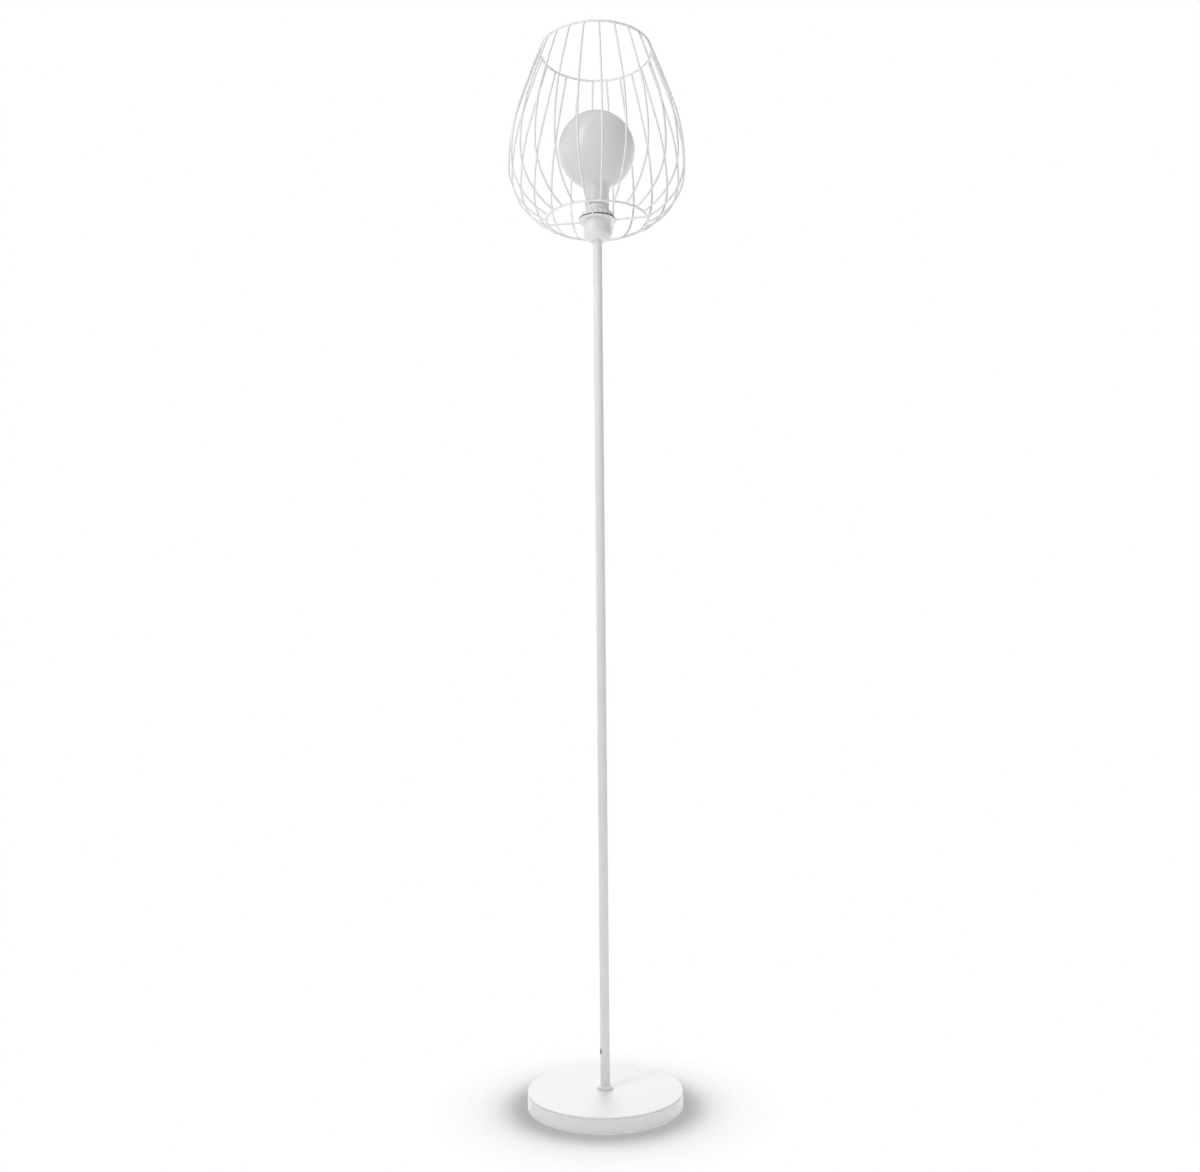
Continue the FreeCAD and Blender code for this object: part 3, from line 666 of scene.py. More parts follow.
# ---- Finishes ----
@dataclass(frozen=True)
class Finish:
    """A finish that a piece can have.

    Attributes:
        slot: the record's slot that it stands for.
        colour: its colour.
        shade: the colour that it drifts towards.
        roughness: lowest and highest roughness.
    """

    slot: Slot
    colour: Colour
    shade: Colour
    roughness: tuple[float, float]

    def material(self) -> bpy.types.Material:
        """The material, built at its first use."""
        name = f"{self.slot.value}_finish"
        if name in bpy.data.materials:
            return bpy.data.materials[name]
        material = bpy.data.materials.new(name)
        material.use_nodes = True
        graph = Graph(material.node_tree)
        shader = graph.add("ShaderNodeBsdfPrincipled", {})
        graph.add("ShaderNodeOutputMaterial", {"Surface": shader.outputs[0]})
        self.fill(graph, shader)
        return material

    def fill(self, graph: Graph, shader: bpy.types.Node) -> None:
        """Gives the shader its colour, roughness and relief."""
        raise NotImplementedError

    def drift(self, graph: Graph, shader: bpy.types.Node, size: float) -> None:
        """Lets colour and roughness drift.

        Args:
            graph: the material's graph.
            shader: the shader that gets them.
            size: distance over which they drift.
        """
        share = graph.effect(Effect.SLOW_DRIFT, {"Size": size})
        colour = graph.blend(share, self.colour, self.shade)
        roughness = graph.ranged(share, (0.0, 1.0), self.roughness)
        graph.feed(shader, {"Base Color": colour, "Roughness": roughness})


@dataclass(frozen=True)
class Skin(Finish):
    """The smooth skin of a coat that flowed out, or of a moulding with its tool's fine texture.

    Attributes:
        grain: width of the skin's waves.
        depth: their depth.
        drift_size: distance over which the gloss changes.
        detail: how much finer ripple the waves have.
        ior: refractive index.
    """

    grain: float = 0.25 * MM
    depth: float = 0.006 * MM
    drift_size: float = 25.0 * MM
    detail: float = 3.0
    ior: float = 1.48

    def fill(self, graph: Graph, shader: bpy.types.Node) -> None:
        """Gives the shader drifting colour and gloss over low waves."""
        self.drift(graph, shader, self.drift_size)
        waves = graph.effect(Effect.SOFT_WAVES, {"Size": self.grain, "Detail": self.detail})
        graph.feed(shader, {"Normal": graph.relief(waves, self.depth), "IOR": self.ior})


@dataclass(frozen=True)
class Grained(Finish):
    """A casting's sand skin or a foam's cells.

    Attributes:
        grain: size of a grain or cell.
        depth: its depth.
        drift_grains: distance over which the colour drifts, in grains.
        fine_share: size of the finer noise, as a share of a grain.
    """

    grain: float
    depth: float
    drift_grains: float = 12.0
    fine_share: float = 0.4

    def fill(self, graph: Graph, shader: bpy.types.Node) -> None:
        """Gives the shader its drifting colour, and grains with finer noise between them."""
        self.drift(graph, shader, self.drift_grains * self.grain)
        grains = graph.effect(Effect.CELLS, {"Size": self.grain})
        finer = {"Size": self.fine_share * self.grain, "Detail": 4.0}
        fine = graph.effect(Effect.SOFT_WAVES, finer)
        height = graph.math("ADD", grains, fine)
        graph.feed(shader, {"Normal": graph.relief(height, self.depth)})


@dataclass(frozen=True)
class TurnedMetal(Finish):
    """Bare or plated metal with the marks of turning or rolling.

    Attributes:
        mark: spacing of the marks.
        depth: their depth.
        drift_size: distance over which colour and gloss drift.
    """

    mark: float = 0.35 * MM
    depth: float = 0.004 * MM
    drift_size: float = 9.0 * MM

    def fill(self, graph: Graph, shader: bpy.types.Node) -> None:
        """Gives the shader a metal's colour, drifting gloss and fine rings."""
        self.drift(graph, shader, self.drift_size)
        marks = graph.effect(Effect.TURNING_MARKS, {"Size": self.mark})
        graph.feed(shader, {"Normal": graph.relief(marks, self.depth), "Metallic": 1.0})


@dataclass(frozen=True)
class OpalGlass(Finish):
    """Glass with a white coat inside, darker towards the neck, under a clear smooth skin, with a
    painted glow.

    Attributes:
        full_colour_height: height above which the glass has its full colour.
        thin_height: height below which it is at its darkest.
        cloud: distance over which the coat drifts.
        wave: width of the glass's slow waves.
        depth: their depth.
        scatter: how far light wanders in the coat.
        painted_glow: painted light, an even glow of emission that stands in for the room's light
            scattered through the coat.
    """

    full_colour_height: float = 1.46
    thin_height: float = 1.37
    cloud: float = 30.0 * MM
    wave: float = 14.0 * MM
    depth: float = 0.02 * MM
    scatter: float = 10.0 * MM
    painted_glow: float = 0.125

    def fill(self, graph: Graph, shader: bpy.types.Node) -> None:
        """Gives the shader a colour that darkens towards the neck and drifts, the glass's gloss,
        and a painted glow.
        """
        height = graph.add("ShaderNodeSeparateXYZ", {"Vector": graph.place()}).outputs["Z"]
        span = (self.full_colour_height, self.thin_height)
        towards_neck = graph.ranged(height, span, (0.0, 1.0), interpolation_type="SMOOTHSTEP")
        cloud = graph.effect(Effect.SLOW_DRIFT, {"Size": self.cloud})
        share = graph.math("MULTIPLY", towards_neck, graph.ranged(cloud, (0.0, 1.0), (0.85, 1.0)))
        waves = graph.effect(Effect.SOFT_WAVES, {"Size": self.wave})
        inputs = {
            "Base Color": graph.blend(share, self.colour, self.shade),
            "Roughness": graph.ranged(cloud, (0.0, 1.0), self.roughness),
            "Normal": graph.relief(waves, self.depth),
            "IOR": 1.5,
            "Subsurface Weight": 0.5,
            "Subsurface Radius": (1.0, 1.0, 1.0),
            "Subsurface Scale": self.scatter,
            # Painted light: an even emission glow stands in for the room's light scattered through
            # the coat, though the bulb is unlit.
            "Emission Color": (1.0, 1.0, 0.99, 1.0),
            "Emission Strength": self.painted_glow,
        }
        graph.feed(shader, inputs)


@dataclass(frozen=True)
class ClearGlass(Finish):
    """Clear glass with slow waves in its skin.

    Attributes:
        wave: width of the waves.
        depth: their depth.
        drift_size: distance over which colour and gloss drift.
    """

    wave: float = 5.0 * MM
    depth: float = 0.02 * MM
    drift_size: float = 20.0 * MM

    def fill(self, graph: Graph, shader: bpy.types.Node) -> None:
        """Gives the shader a clear glass's colour, gloss and waves."""
        self.drift(graph, shader, self.drift_size)
        normal = graph.relief(graph.effect(Effect.SOFT_WAVES, {"Size": self.wave}), self.depth)
        graph.feed(shader, {"Normal": normal, "Transmission Weight": 1.0, "IOR": 1.5})


POWDER_COAT = Skin(
    Slot.WHITE_PAINT,
    (0.86, 0.86, 0.855),
    (0.84, 0.84, 0.835),
    (0.2, 0.27),
    grain=1.1 * MM,
    depth=0.012 * MM,
    drift_size=70.0 * MM,
    detail=1.0,
    ior=1.5,
)
CAST_IRON = Grained(
    Slot.CAST_IRON, (0.05, 0.05, 0.053), (0.1, 0.085, 0.075), (0.55, 0.8), 1.3 * MM, 0.25 * MM
)
FOAM = Grained(
    Slot.FOAM_PAD, (0.03, 0.03, 0.032), (0.045, 0.045, 0.047), (0.85, 0.95), 0.7 * MM, 0.12 * MM
)
ZINC = TurnedMetal(Slot.ZINC_STEEL, (0.62, 0.62, 0.6), (0.52, 0.53, 0.54), (0.25, 0.42))
BRASS = TurnedMetal(Slot.BRASS, (0.78, 0.6, 0.3), (0.66, 0.48, 0.22), (0.24, 0.4))
WHITE_PLASTIC = Skin(Slot.WHITE_PLASTIC, (0.86, 0.86, 0.85), (0.84, 0.84, 0.83), (0.26, 0.34))
BLOCK_PLASTIC = Skin(Slot.BLOCK_PLASTIC, (0.8, 0.79, 0.75), (0.74, 0.73, 0.68), (0.5, 0.62))
BLACK_RUBBER = Skin(Slot.BLACK_RUBBER, (0.03, 0.03, 0.03), (0.045, 0.045, 0.045), (0.6, 0.75))
BLACK_GLASS = Skin(Slot.BLACK_GLASS, (0.02, 0.02, 0.025), (0.03, 0.03, 0.035), (0.06, 0.14))
NICKEL = TurnedMetal(Slot.NICKEL_SHELL, (0.7, 0.69, 0.66), (0.6, 0.59, 0.56), (0.2, 0.34))
OPAL = OpalGlass(Slot.OPAL_GLASS, (0.62, 0.62, 0.615), (0.58, 0.58, 0.58), (0.1, 0.16))
CLEAR = ClearGlass(Slot.CLEAR_GLASS, (0.97, 0.98, 0.98), (0.94, 0.97, 0.97), (0.01, 0.03))
FILAMENT_COAT = Skin(
    Slot.FILAMENT_COAT, (0.86, 0.66, 0.22), (0.9, 0.74, 0.34), (0.45, 0.6), 0.3 * MM, 0.02 * MM
)


# ---- Sub-assemblies ----
def add_object(name: str, data: bpy.types.ID | None) -> bpy.types.Object:
    """Object that shows the data, linked to the scene."""
    thing = bpy.data.objects.new(name, data)
    bpy.context.scene.collection.objects.link(thing)
    return thing


@dataclass
class SubAssembly:
    """A group of pieces that is built and dressed together, with the frame's node objects."""

    nodes: dict[str, bpy.types.Object]

    def place(
        self,
        name: str,
        surface: Surface,
        finish: Finish,
        body: Body,
        *stands_for: str,
        crease: float = 32.0,
    ) -> None:
        """Makes a piece from a surface and puts it on its body.

        Args:
            name: name of the piece.
            surface: its surface, in its place.
            finish: its finish.
            body: the body that it rides on.
            stands_for: the frame's nodes that it replaces.
            crease: angle in degrees above which an edge shows sharp.
        """
        piece = add_object(name, surface.mesh(name, crease))
        piece.data.materials.append(finish.material())
        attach(piece, body.value)
        if stands_for:
            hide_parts(*stands_for)
        triangles = sum(len(face.vertices) - 2 for face in piece.data.polygons)
        LOG.info("%s: %d triangles on body %s", name, triangles, body.value)

    def dress(self, finish: Finish, *names: str) -> None:
        """Gives nodes that are kept from the frame a finish."""
        for name in names:
            self.nodes[name].material_slots[0].material = finish.material()
            LOG.info("%s: kept, with %s", name, finish.slot.value)

    def build(self) -> None:
        """Makes the new pieces and dresses the nodes that are kept."""
        raise NotImplementedError


@dataclass
class Base(SubAssembly):
    """The round foot: pressed cover over a cast weight on a foam pad, with its bolt from below."""

    sheet: float = 1.2 * MM
    rim_round: float = 1.4 * MM
    rim_line_width: float = 0.6 * MM
    rim_line_depth: float = 0.6 * MM
    rim_line_edge: float = 0.1 * MM
    hem_round: float = 0.45 * MM
    hole: float = 4.5 * MM
    pad_inner: float = 21.0 * MM
    pad_round: float = 0.6 * MM
    bolt_across_flats: float = 13.0 * MM
    bolt_face_share: float = 0.94
    bolt_chamfer: float = 0.9 * MM
    bolt_head_height: float = 5.3 * MM
    bolt_radius: float = 4.0 * MM
    bolt_root_round: float = 0.3 * MM
    bolt_head_ledge: float = 0.5 * MM
    bolt_tip_round: float = 0.8 * MM
    bolt_plain_root: float = 1.0 * MM
    bolt_plain_tip: float = 0.3 * MM
    bolt_pitch: float = 1.25 * MM
    bolt_thread_depth: float = 0.65 * MM
    bolt_step: float = 0.2 * MM
    bolt_sides: int = 72
    sides: int = 256

    def build(self) -> None:
        """Makes the cover, the pad and the bolt, and finishes the weight and the washers."""
        pad = flat_ring(
            NodeBox.of("base_pad"), self.pad_inner, self.pad_round, self.pad_round, self.sides
        )
        self.place("painted_cover", self.cover(), POWDER_COAT, Body.STAND, "base_cover")
        self.place("foam_pad_ring", pad, FOAM, Body.STAND, "base_pad")
        self.place("hexagon_bolt", self.bolt(), ZINC, Body.STAND, "base_bolt", crease=25.0)
        self.dress(CAST_IRON, "base_weight")
        self.dress(ZINC, "base_washer", "base_lock_washer")

    def cover(self) -> Surface:
        """Sheet cover: a flat top, a rounded rim with a thin rolled line, and an upright side."""
        box = NodeBox.of("base_cover")
        outer, inner = box.radius, box.radius - self.sheet
        under = box.top - self.sheet
        edge = self.rim_line_edge
        line_top = box.top - self.rim_round - edge
        line_bottom = line_top - self.rim_line_width
        line_floor = outer - self.rim_line_depth
        corners = [
            Corner(self.hole, under),
            Corner(inner, under, self.rim_round - self.sheet),
            Corner(inner, box.bottom, self.hem_round),
            Corner(outer, box.bottom, self.hem_round),
            Corner(outer, line_bottom, edge),
            Corner(line_floor, line_bottom + edge),
            Corner(line_floor, line_top - edge),
            Corner(outer, line_top),
            Corner(outer, box.top, self.rim_round, 10),
            Corner(self.hole, box.top),
        ]
        return lathe(corners, self.sides)

    def bolt(self) -> Surface:
        """Bolt with a chamfered hexagon head and a threaded shank.

        The head's radius is the lesser of the hexagon, half the width over the cosine of the
        angle from the nearest flat, and the cone of the chamfer.
        """
        box = NodeBox.of("base_bolt")
        shoulder = box.bottom + self.bolt_head_height
        flat = self.bolt_across_flats / 2.0
        corner = flat / math.cos(math.pi / 6.0)
        corners = [
            Corner(0.0, box.bottom),
            Corner(self.bolt_face_share * flat, box.bottom),
            Corner(corner, box.bottom + self.bolt_chamfer),
            Corner(corner, shoulder),
            Corner(self.bolt_radius, shoulder, self.bolt_root_round),
            Corner(self.bolt_radius, box.top, self.bolt_tip_round),
            Corner(0.0, box.top),
        ]
        thread = Thread(
            wall=self.bolt_radius,
            bottom=shoulder + self.bolt_plain_root,
            top=box.top - self.bolt_plain_tip,
            pitch=self.bolt_pitch,
            depth=self.bolt_thread_depth,
        )

        head_from = self.bolt_radius + self.bolt_head_ledge

        def hexagon(angle: Array, r: Array, z: Array) -> Array:
            """Change of radius that cuts the head's flats and the shank's thread."""
            nearest = (angle % (math.pi / 3.0)) - math.pi / 6.0
            limit = np.minimum(flat / np.cos(nearest) + 0.0 * r, r)
            head = (z <= shoulder + HAIR) & (r > head_from)
            return np.where(head, limit - r, 0.0) + thread.shift(angle, r, z)

        return lathe(corners, self.bolt_sides, hexagon, closed=False, longest=self.bolt_step)


@dataclass
class Pole(SubAssembly):
    """The tube, its collar, the cord's outlet and the bushes inside."""

    wall: float = 1.0 * MM
    outlet_height: float = 54.3 * MM
    outlet_azimuth: float = math.radians(195.0)
    outlet_radius: float = 3.8 * MM
    patch_angle: float = math.radians(55.0)
    patch_half_height: float = 9.0 * MM
    patch_cells: int = 16
    beside_cells: int = 40
    below_cells: int = 4
    above_cells: int = 48
    ring_cells: int = 8
    ring_crowding: float = 1.5
    grommet_bore: float = 2.8 * MM
    grommet_lip: float = 4.6 * MM
    grommet_proud: float = 0.25 * MM
    grommet_round: float = 0.2 * MM
    grommet_step: float = 0.4 * MM
    grommet_sides: int = 64
    collar_radius: float = 12.0 * MM
    collar_side: float = 3.9 * MM
    collar_round: float = 1.5 * MM
    collar_edge: float = 0.3 * MM
    collar_sides: int = 96
    play: float = 0.05 * MM

    def build(self) -> None:
        """Makes the tube, the collar and the grommet, and finishes the bushes."""
        box = NodeBox.of("pole_tube")
        outlet = box.bottom + self.outlet_height
        grommet = self.grommet(box.radius, outlet)
        self.place("painted_pole", self.tube(box, outlet), POWDER_COAT, Body.STAND, "pole_tube")
        self.place("moulded_collar", self.collar(box), WHITE_PLASTIC, Body.STAND, "pole_collar")
        self.place("outlet_grommet", grommet, BLACK_RUBBER, Body.STAND, "cord_grommet")
        self.dress(ZINC, "pole_foot_bush", "pole_top_bush")

    def wall_grids(self, radius: float, box: NodeBox, outlet: float) -> tuple[list[Array], Array]:
        """Grids of one face of the tube, with the outlet's round hole, and the hole's rim.

        Away from the hole the face is a grid of angle by height. Round the hole it is a square of
        cells in angle and height, replaced by rings that run from the square's edge, at share 1,
        to the rim, at share 0. The rim's points are radius h * (cos a, sin a) across the hole, so
        their angle on the tube is the arc sine of h cos a over the tube's radius.

        Args:
            radius: radius of the face.
            box: the tube's box.
            outlet: height of the hole's centre.

        Returns:
            The grids of points (angle, height), and the rim's points.
        """
        cell = np.linspace(-1.0, 1.0, self.patch_cells + 1)
        level = outlet + cell * self.patch_half_height
        ends = self.patch_angle, TAU - self.patch_angle
        beside = np.linspace(*ends, self.beside_cells + 1)
        over = cell * self.patch_angle
        below = np.linspace(box.bottom, level[0], self.below_cells + 1)
        above = np.linspace(level[-1], box.top, self.above_cells + 1)
        heights = np.concatenate([below[:-1], level, above[1:]])

        side = np.stack([cell[:-1], -np.ones(self.patch_cells)], axis=1)
        quarter = np.array([[0.0, 1.0], [-1.0, 0.0]])
        square = np.concatenate([side @ np.linalg.matrix_power(quarter, n) for n in range(4)])
        bearing = np.arctan2(square[:, 1], square[:, 0])
        sideways = np.arcsin(self.outlet_radius * np.cos(bearing) / radius)
        rim = np.stack([sideways, outlet + self.outlet_radius * np.sin(bearing)], axis=1)
        half = np.array([self.patch_angle, self.patch_half_height])
        edge = square * half + np.array([0.0, outlet])
        share = np.linspace(0.0, 1.0, self.ring_cells + 1)[None, :, None] ** self.ring_crowding
        rings = rim[:, None, :] * (1.0 - share) + edge[:, None, :] * share
        wrapped = np.concatenate([rings, rings[:1]])
        grids = [
            np.stack(np.meshgrid(angles, levels, indexing="ij"), axis=-1)
            for angles, levels in ((beside, heights), (over, below), (over, above))
        ]
        return grids + [wrapped], wrapped[:, 0]

    def on_tube(self, points: Array, radius: float) -> Array:
        """Points of the tube for (angle from the outlet, height): (R cos a, R sin a, z)."""
        angle = points[..., 0] + self.outlet_azimuth
        return np.stack([radius * np.cos(angle), radius * np.sin(angle), points[..., 1]], axis=-1)

    def tube(self, box: NodeBox, outlet: float) -> Surface:
        """Tube with both faces, both end rims and the wall of the outlet hole."""
        surface = Surface()
        radii = (box.radius, box.radius - self.wall)
        rims = []
        for radius in radii:
            grids, rim = self.wall_grids(radius, box, outlet)
            for grid in grids:
                surface.add(self.on_tube(grid, radius), wrap_rows=False)
            rims.append(self.on_tube(rim, radius))
        surface.add(np.stack(rims, axis=1), wrap_rows=False)
        angles = np.concatenate([grids[1][:-1, 0, 0], grids[0][:, 0, 0]])
        for height in (box.bottom, box.top):
            rim = np.stack([angles, np.full_like(angles, height)], axis=1)
            surface.add(np.stack([self.on_tube(rim, radius) for radius in radii], axis=1))
        return surface

    def collar(self, box: NodeBox) -> Surface:
        """Low moulded ring with a round shoulder that rises to the pole."""
        collar = NodeBox.of("pole_collar")
        inner = box.radius + self.play
        corners = [
            Corner(inner, collar.bottom),
            Corner(self.collar_radius, collar.bottom, self.collar_edge),
            Corner(self.collar_radius, collar.bottom + self.collar_side, self.collar_round),
            Corner(inner, collar.top, self.collar_edge),
        ]
        return lathe(corners, self.collar_sides)

    def grommet(self, radius: float, outlet: float) -> Surface:
        """Snap-in grommet whose lips follow the tube.

        Its outline is given by distance d from the hole's axis and by the radius R of the
        cylinder that the point lies on: at angle a round the hole the point is
        (sqrt(R^2 - (d cos a)^2), d cos a, d sin a), turned to the outlet's azimuth.

        Args:
            radius: outer radius of the tube.
            outlet: height of the hole's centre.

        Returns:
            The grommet's surface.
        """
        outer, inner = radius, radius - self.wall
        barrel, proud = self.outlet_radius - self.play, self.grommet_proud
        corners = [
            Corner(self.grommet_bore, inner - proud, self.grommet_round),
            Corner(self.grommet_lip, inner - proud, self.grommet_round),
            Corner(self.grommet_lip, inner),
            Corner(barrel, inner),
            Corner(barrel, outer),
            Corner(self.grommet_lip, outer),
            Corner(self.grommet_lip, outer + proud, self.grommet_round),
            Corner(self.grommet_bore, outer + proud, self.grommet_round),
        ]
        points = outline(corners, closed=True, longest=self.grommet_step)
        angle = full_circle(self.grommet_sides)[:, None]
        sideways = points[None, :, 0] * np.cos(angle)
        outwards = np.sqrt(points[None, :, 1] ** 2 - sideways**2)
        upwards = outlet + points[None, :, 0] * np.sin(angle)
        grid = np.stack([outwards, sideways, upwards], axis=-1)
        placed = copies_round(grid, np.array([self.outlet_azimuth]))
        return Surface().add(placed, wrap_columns=True)


@dataclass
class Lampholder(SubAssembly):
    """The holder on the pole's top: a cup, a threaded skirt, and the contacts inside."""

    foot_radius: float = 14.0 * MM
    foot_round: float = 1.5 * MM
    shoulder_height: float = 8.5 * MM
    shoulder_round: float = 6.0 * MM
    cup_wall: float = 1.9 * MM
    cup_floor: float = 2.5 * MM
    ledge: float = 1.6 * MM
    boss_radius: float = 7.5 * MM
    boss_height: float = 7.0 * MM
    nipple_bore: float = 5.05 * MM
    flange: float = 2.0 * MM
    engagement: float = 10.0 * MM
    skirt_radius: float = 18.7 * MM
    skirt_bore: float = 13.28 * MM
    skirt_round: float = 0.8 * MM
    mouth_round: float = 0.5 * MM
    spigot_play: float = 0.05 * MM
    ring_thread_start: float = 0.4 * MM
    ring_depth: float = 0.8 * MM
    bulb_thread_start: float = 6.0 * MM
    bulb_depth: float = 0.9 * MM
    thread_end: float = 0.6 * MM
    block_disc: float = 6.0 * MM
    edge: float = 0.35 * MM
    shoulder_steps: int = 14
    cup_sides: int = 128
    skirt_sides: int = 144
    skirt_step: float = 0.26 * MM

    def build(self) -> None:
        """Makes the cup and the skirt, and finishes what is inside."""
        cup = NodeBox.of("holder_cap")
        self.place("holder_cup", self.cup(cup), WHITE_PLASTIC, Body.STAND, "holder_cap")
        self.place("threaded_skirt", self.skirt(cup), WHITE_PLASTIC, Body.STAND, "holder_skirt")
        self.dress(ZINC, "holder_nipple", "holder_grub_screw", "terminal_screws")
        self.dress(BLOCK_PLASTIC, "terminal_block")
        self.dress(BRASS, "terminal_clamps", "centre_contact", "side_contact")

    def cup(self, box: NodeBox) -> Surface:
        """Cup with a small flat foot, a round shoulder and a straight side up to its rim."""
        inner = box.radius - self.cup_wall
        shoulder = box.bottom + self.shoulder_height
        floor = box.bottom + self.cup_floor
        rest = box.top - self.engagement - self.block_disc
        corners = [
            Corner(self.nipple_bore, box.bottom),
            Corner(self.foot_radius, box.bottom, self.foot_round),
            Corner(box.radius, shoulder, self.shoulder_round, self.shoulder_steps),
            Corner(box.radius, box.top, self.edge),
            Corner(inner, box.top),
            Corner(inner, rest),
            Corner(inner - self.ledge, rest),
            Corner(inner - self.ledge, shoulder),
            Corner(self.foot_radius - self.cup_wall / 2.0, floor),
            Corner(self.boss_radius, floor),
            Corner(self.boss_radius, box.bottom + self.boss_height),
            Corner(self.nipple_bore, box.bottom + self.boss_height),
        ]
        return lathe(corners, self.cup_sides)

    def skirt(self, cup: NodeBox) -> Surface:
        """Skirt with a flange on the cup's rim, a coarse thread outside and a bulb's inside."""
        box = NodeBox.of("holder_skirt")
        seat = cup.top + self.flange
        spigot = cup.radius - self.cup_wall - self.spigot_play
        corners = [
            Corner(self.skirt_bore, box.bottom),
            Corner(spigot, box.bottom),
            Corner(spigot, cup.top),
            Corner(cup.radius, cup.top, self.edge),
            Corner(cup.radius, seat, self.edge),
            Corner(self.skirt_radius, seat),
            Corner(self.skirt_radius, box.top, self.skirt_round),
            Corner(self.skirt_bore, box.top, self.mouth_round),
        ]
        outside = Thread(
            wall=self.skirt_radius,
            bottom=seat + self.ring_thread_start,
            top=box.top + self.thread_end,
            pitch=RING_PITCH,
            depth=self.ring_depth,
        )
        inside = Thread(
            wall=self.skirt_bore,
            bottom=box.bottom + self.bulb_thread_start,
            top=box.top - self.thread_end,
            pitch=BULB_PITCH,
            depth=self.bulb_depth,
            roots=Wall.AWAY_FROM_AXIS,
            flatness=ROUND_THREAD,
        )

        def both(angle: Array, r: Array, z: Array) -> Array:
            """Change of radius that cuts both threads."""
            return outside.shift(angle, r, z) + inside.shift(angle, r, z)

        return lathe(corners, self.skirt_sides, both, longest=self.skirt_step)


@dataclass
class ShadeRing(SubAssembly):
    """The fluted ring nut that clamps the cage, and the black gasket bonded under it."""

    radius: float = 26.0 * MM
    bore: float = 18.78 * MM
    flutes: int = 20
    flute_radius: float = 2.4 * MM
    flute_depth: float = 0.9 * MM
    flute_round: float = 0.12 * MM
    flute_cells: int = 16
    top_round: float = 1.0 * MM
    bottom_round: float = 0.3 * MM
    bore_round: float = 0.4 * MM
    gasket_inner: float = 19.0 * MM
    gasket_inner_round: float = 0.2 * MM
    gasket_rim_round: float = 0.35 * MM
    gasket_sides: int = 160
    thread_depth: float = 0.75 * MM
    top_steps: int = 8
    step: float = 0.35 * MM

    def build(self) -> None:
        """Makes the ring and the gasket."""
        gasket = flat_ring(
            NodeBox.of("ring_gasket"),
            self.gasket_inner,
            self.gasket_inner_round,
            self.gasket_rim_round,
            self.gasket_sides,
        )
        self.place("fluted_ring", self.ring(), WHITE_PLASTIC, Body.RING, "shade_ring")
        self.place("rubber_gasket", gasket, BLACK_RUBBER, Body.GASKET, "ring_gasket")

    def flute(self, angle: Array) -> Array:
        """How deep the outside is cut at each angle.

        A flute is part of a circle about a point outside the ring: its face is at
        c cos a - sqrt(f^2 - (c sin a)^2) from the axis, for a flute of radius f about a point at c.
        The lesser of that and the ring's own radius is taken, with their corner rounded.
        """
        centre = self.radius - self.flute_depth + self.flute_radius
        pitch_angle = TAU / self.flutes
        nearest = (angle + pitch_angle / 2.0) % pitch_angle - pitch_angle / 2.0
        across = np.clip(self.flute_radius**2 - (centre * np.sin(nearest)) ** 2, 0.0, None)
        gap = centre * np.cos(nearest) - np.sqrt(across) - self.radius
        return 0.5 * (np.sqrt(gap**2 + self.flute_round**2) - gap) - 0.5 * self.flute_round

    def ring(self) -> Surface:
        """Ring with flutes that run into its rounded top edge, and a thread in its bore."""
        box = NodeBox.of("shade_ring")
        corners = [
            Corner(self.bore, box.bottom, self.bottom_round),
            Corner(self.radius, box.bottom, self.bottom_round),
            Corner(self.radius, box.top, self.top_round, self.top_steps),
            Corner(self.bore, box.top, self.bore_round),
        ]
        thread = Thread(
            wall=self.bore,
            bottom=box.bottom + self.bottom_round,
            top=box.top - self.bore_round,
            pitch=RING_PITCH,
            depth=self.thread_depth,
            roots=Wall.AWAY_FROM_AXIS,
        )
        inside = self.radius - 2.0 * self.flute_radius

        def fluted(angle: Array, r: Array, z: Array) -> Array:
            """Change of radius that cuts the bore's thread and the flutes."""
            share = smoothstep(inside, self.radius - self.top_round, r)
            return thread.shift(angle, r, z) - share * self.flute(angle)

        return lathe(corners, self.flute_cells * self.flutes, fluted, longest=self.step)


@dataclass(frozen=True)
class Weld:
    """A small fillet where a wire's end meets a ring or the hub, in the XZ plane.

    Attributes:
        place: where the wire's axis meets what it is welded to.
        along: unit vector (x, z) that leaves the weld along the wire.
        wire: radius of the wire.
        inside: how far the fillet starts below that place.
        height: how far it climbs the wire.
        spread: how far it spreads to both sides where it starts.
        squeeze: share of the wire's thickness that the fillet has up and down where it starts.
        skin: how far it stands off the wire where it starts.
    """

    place: Array
    along: Array
    wire: float
    inside: float
    height: float
    spread: float
    squeeze: float = 1.0
    skin: float = 0.06 * MM

    def grid(self, sides: int = 20, rows: int = 7) -> Array:
        """Points of the fillet.

        At share t of its height and angle b round the wire, the point lies
        wire + spread (1 - t)^2 cos^2 b from the wire's axis: the fillet spreads sideways, along
        the ring, and not up and down. A row of radius 0 closes each end inside the metal.

        Args:
            sides: how many places its section is divided into.
            rows: how many sections it has.

        Returns:
            Grid of points, height by angle.
        """
        t = np.concatenate([[0.0], np.linspace(0.0, 1.0, rows), [1.0]])[:, None]
        open_row = np.concatenate([[0.0], np.ones(rows), [0.0]])[:, None]
        angle = full_circle(sides)[None, :]
        spread = self.spread * (1 - t) ** 2 * np.cos(angle) ** 2
        reach = open_row * (self.wire + self.skin * (1.0 - t) + spread)
        across = reach * np.sin(angle) * (self.squeeze + (1.0 - self.squeeze) * t)
        climb = -self.inside + t * (self.inside + self.height) + 0.0 * angle
        x = self.place[0] + climb * self.along[0] + across * self.along[1]
        z = self.place[1] + climb * self.along[1] - across * self.along[0]
        return np.stack([x, reach * np.cos(angle), z], axis=-1)


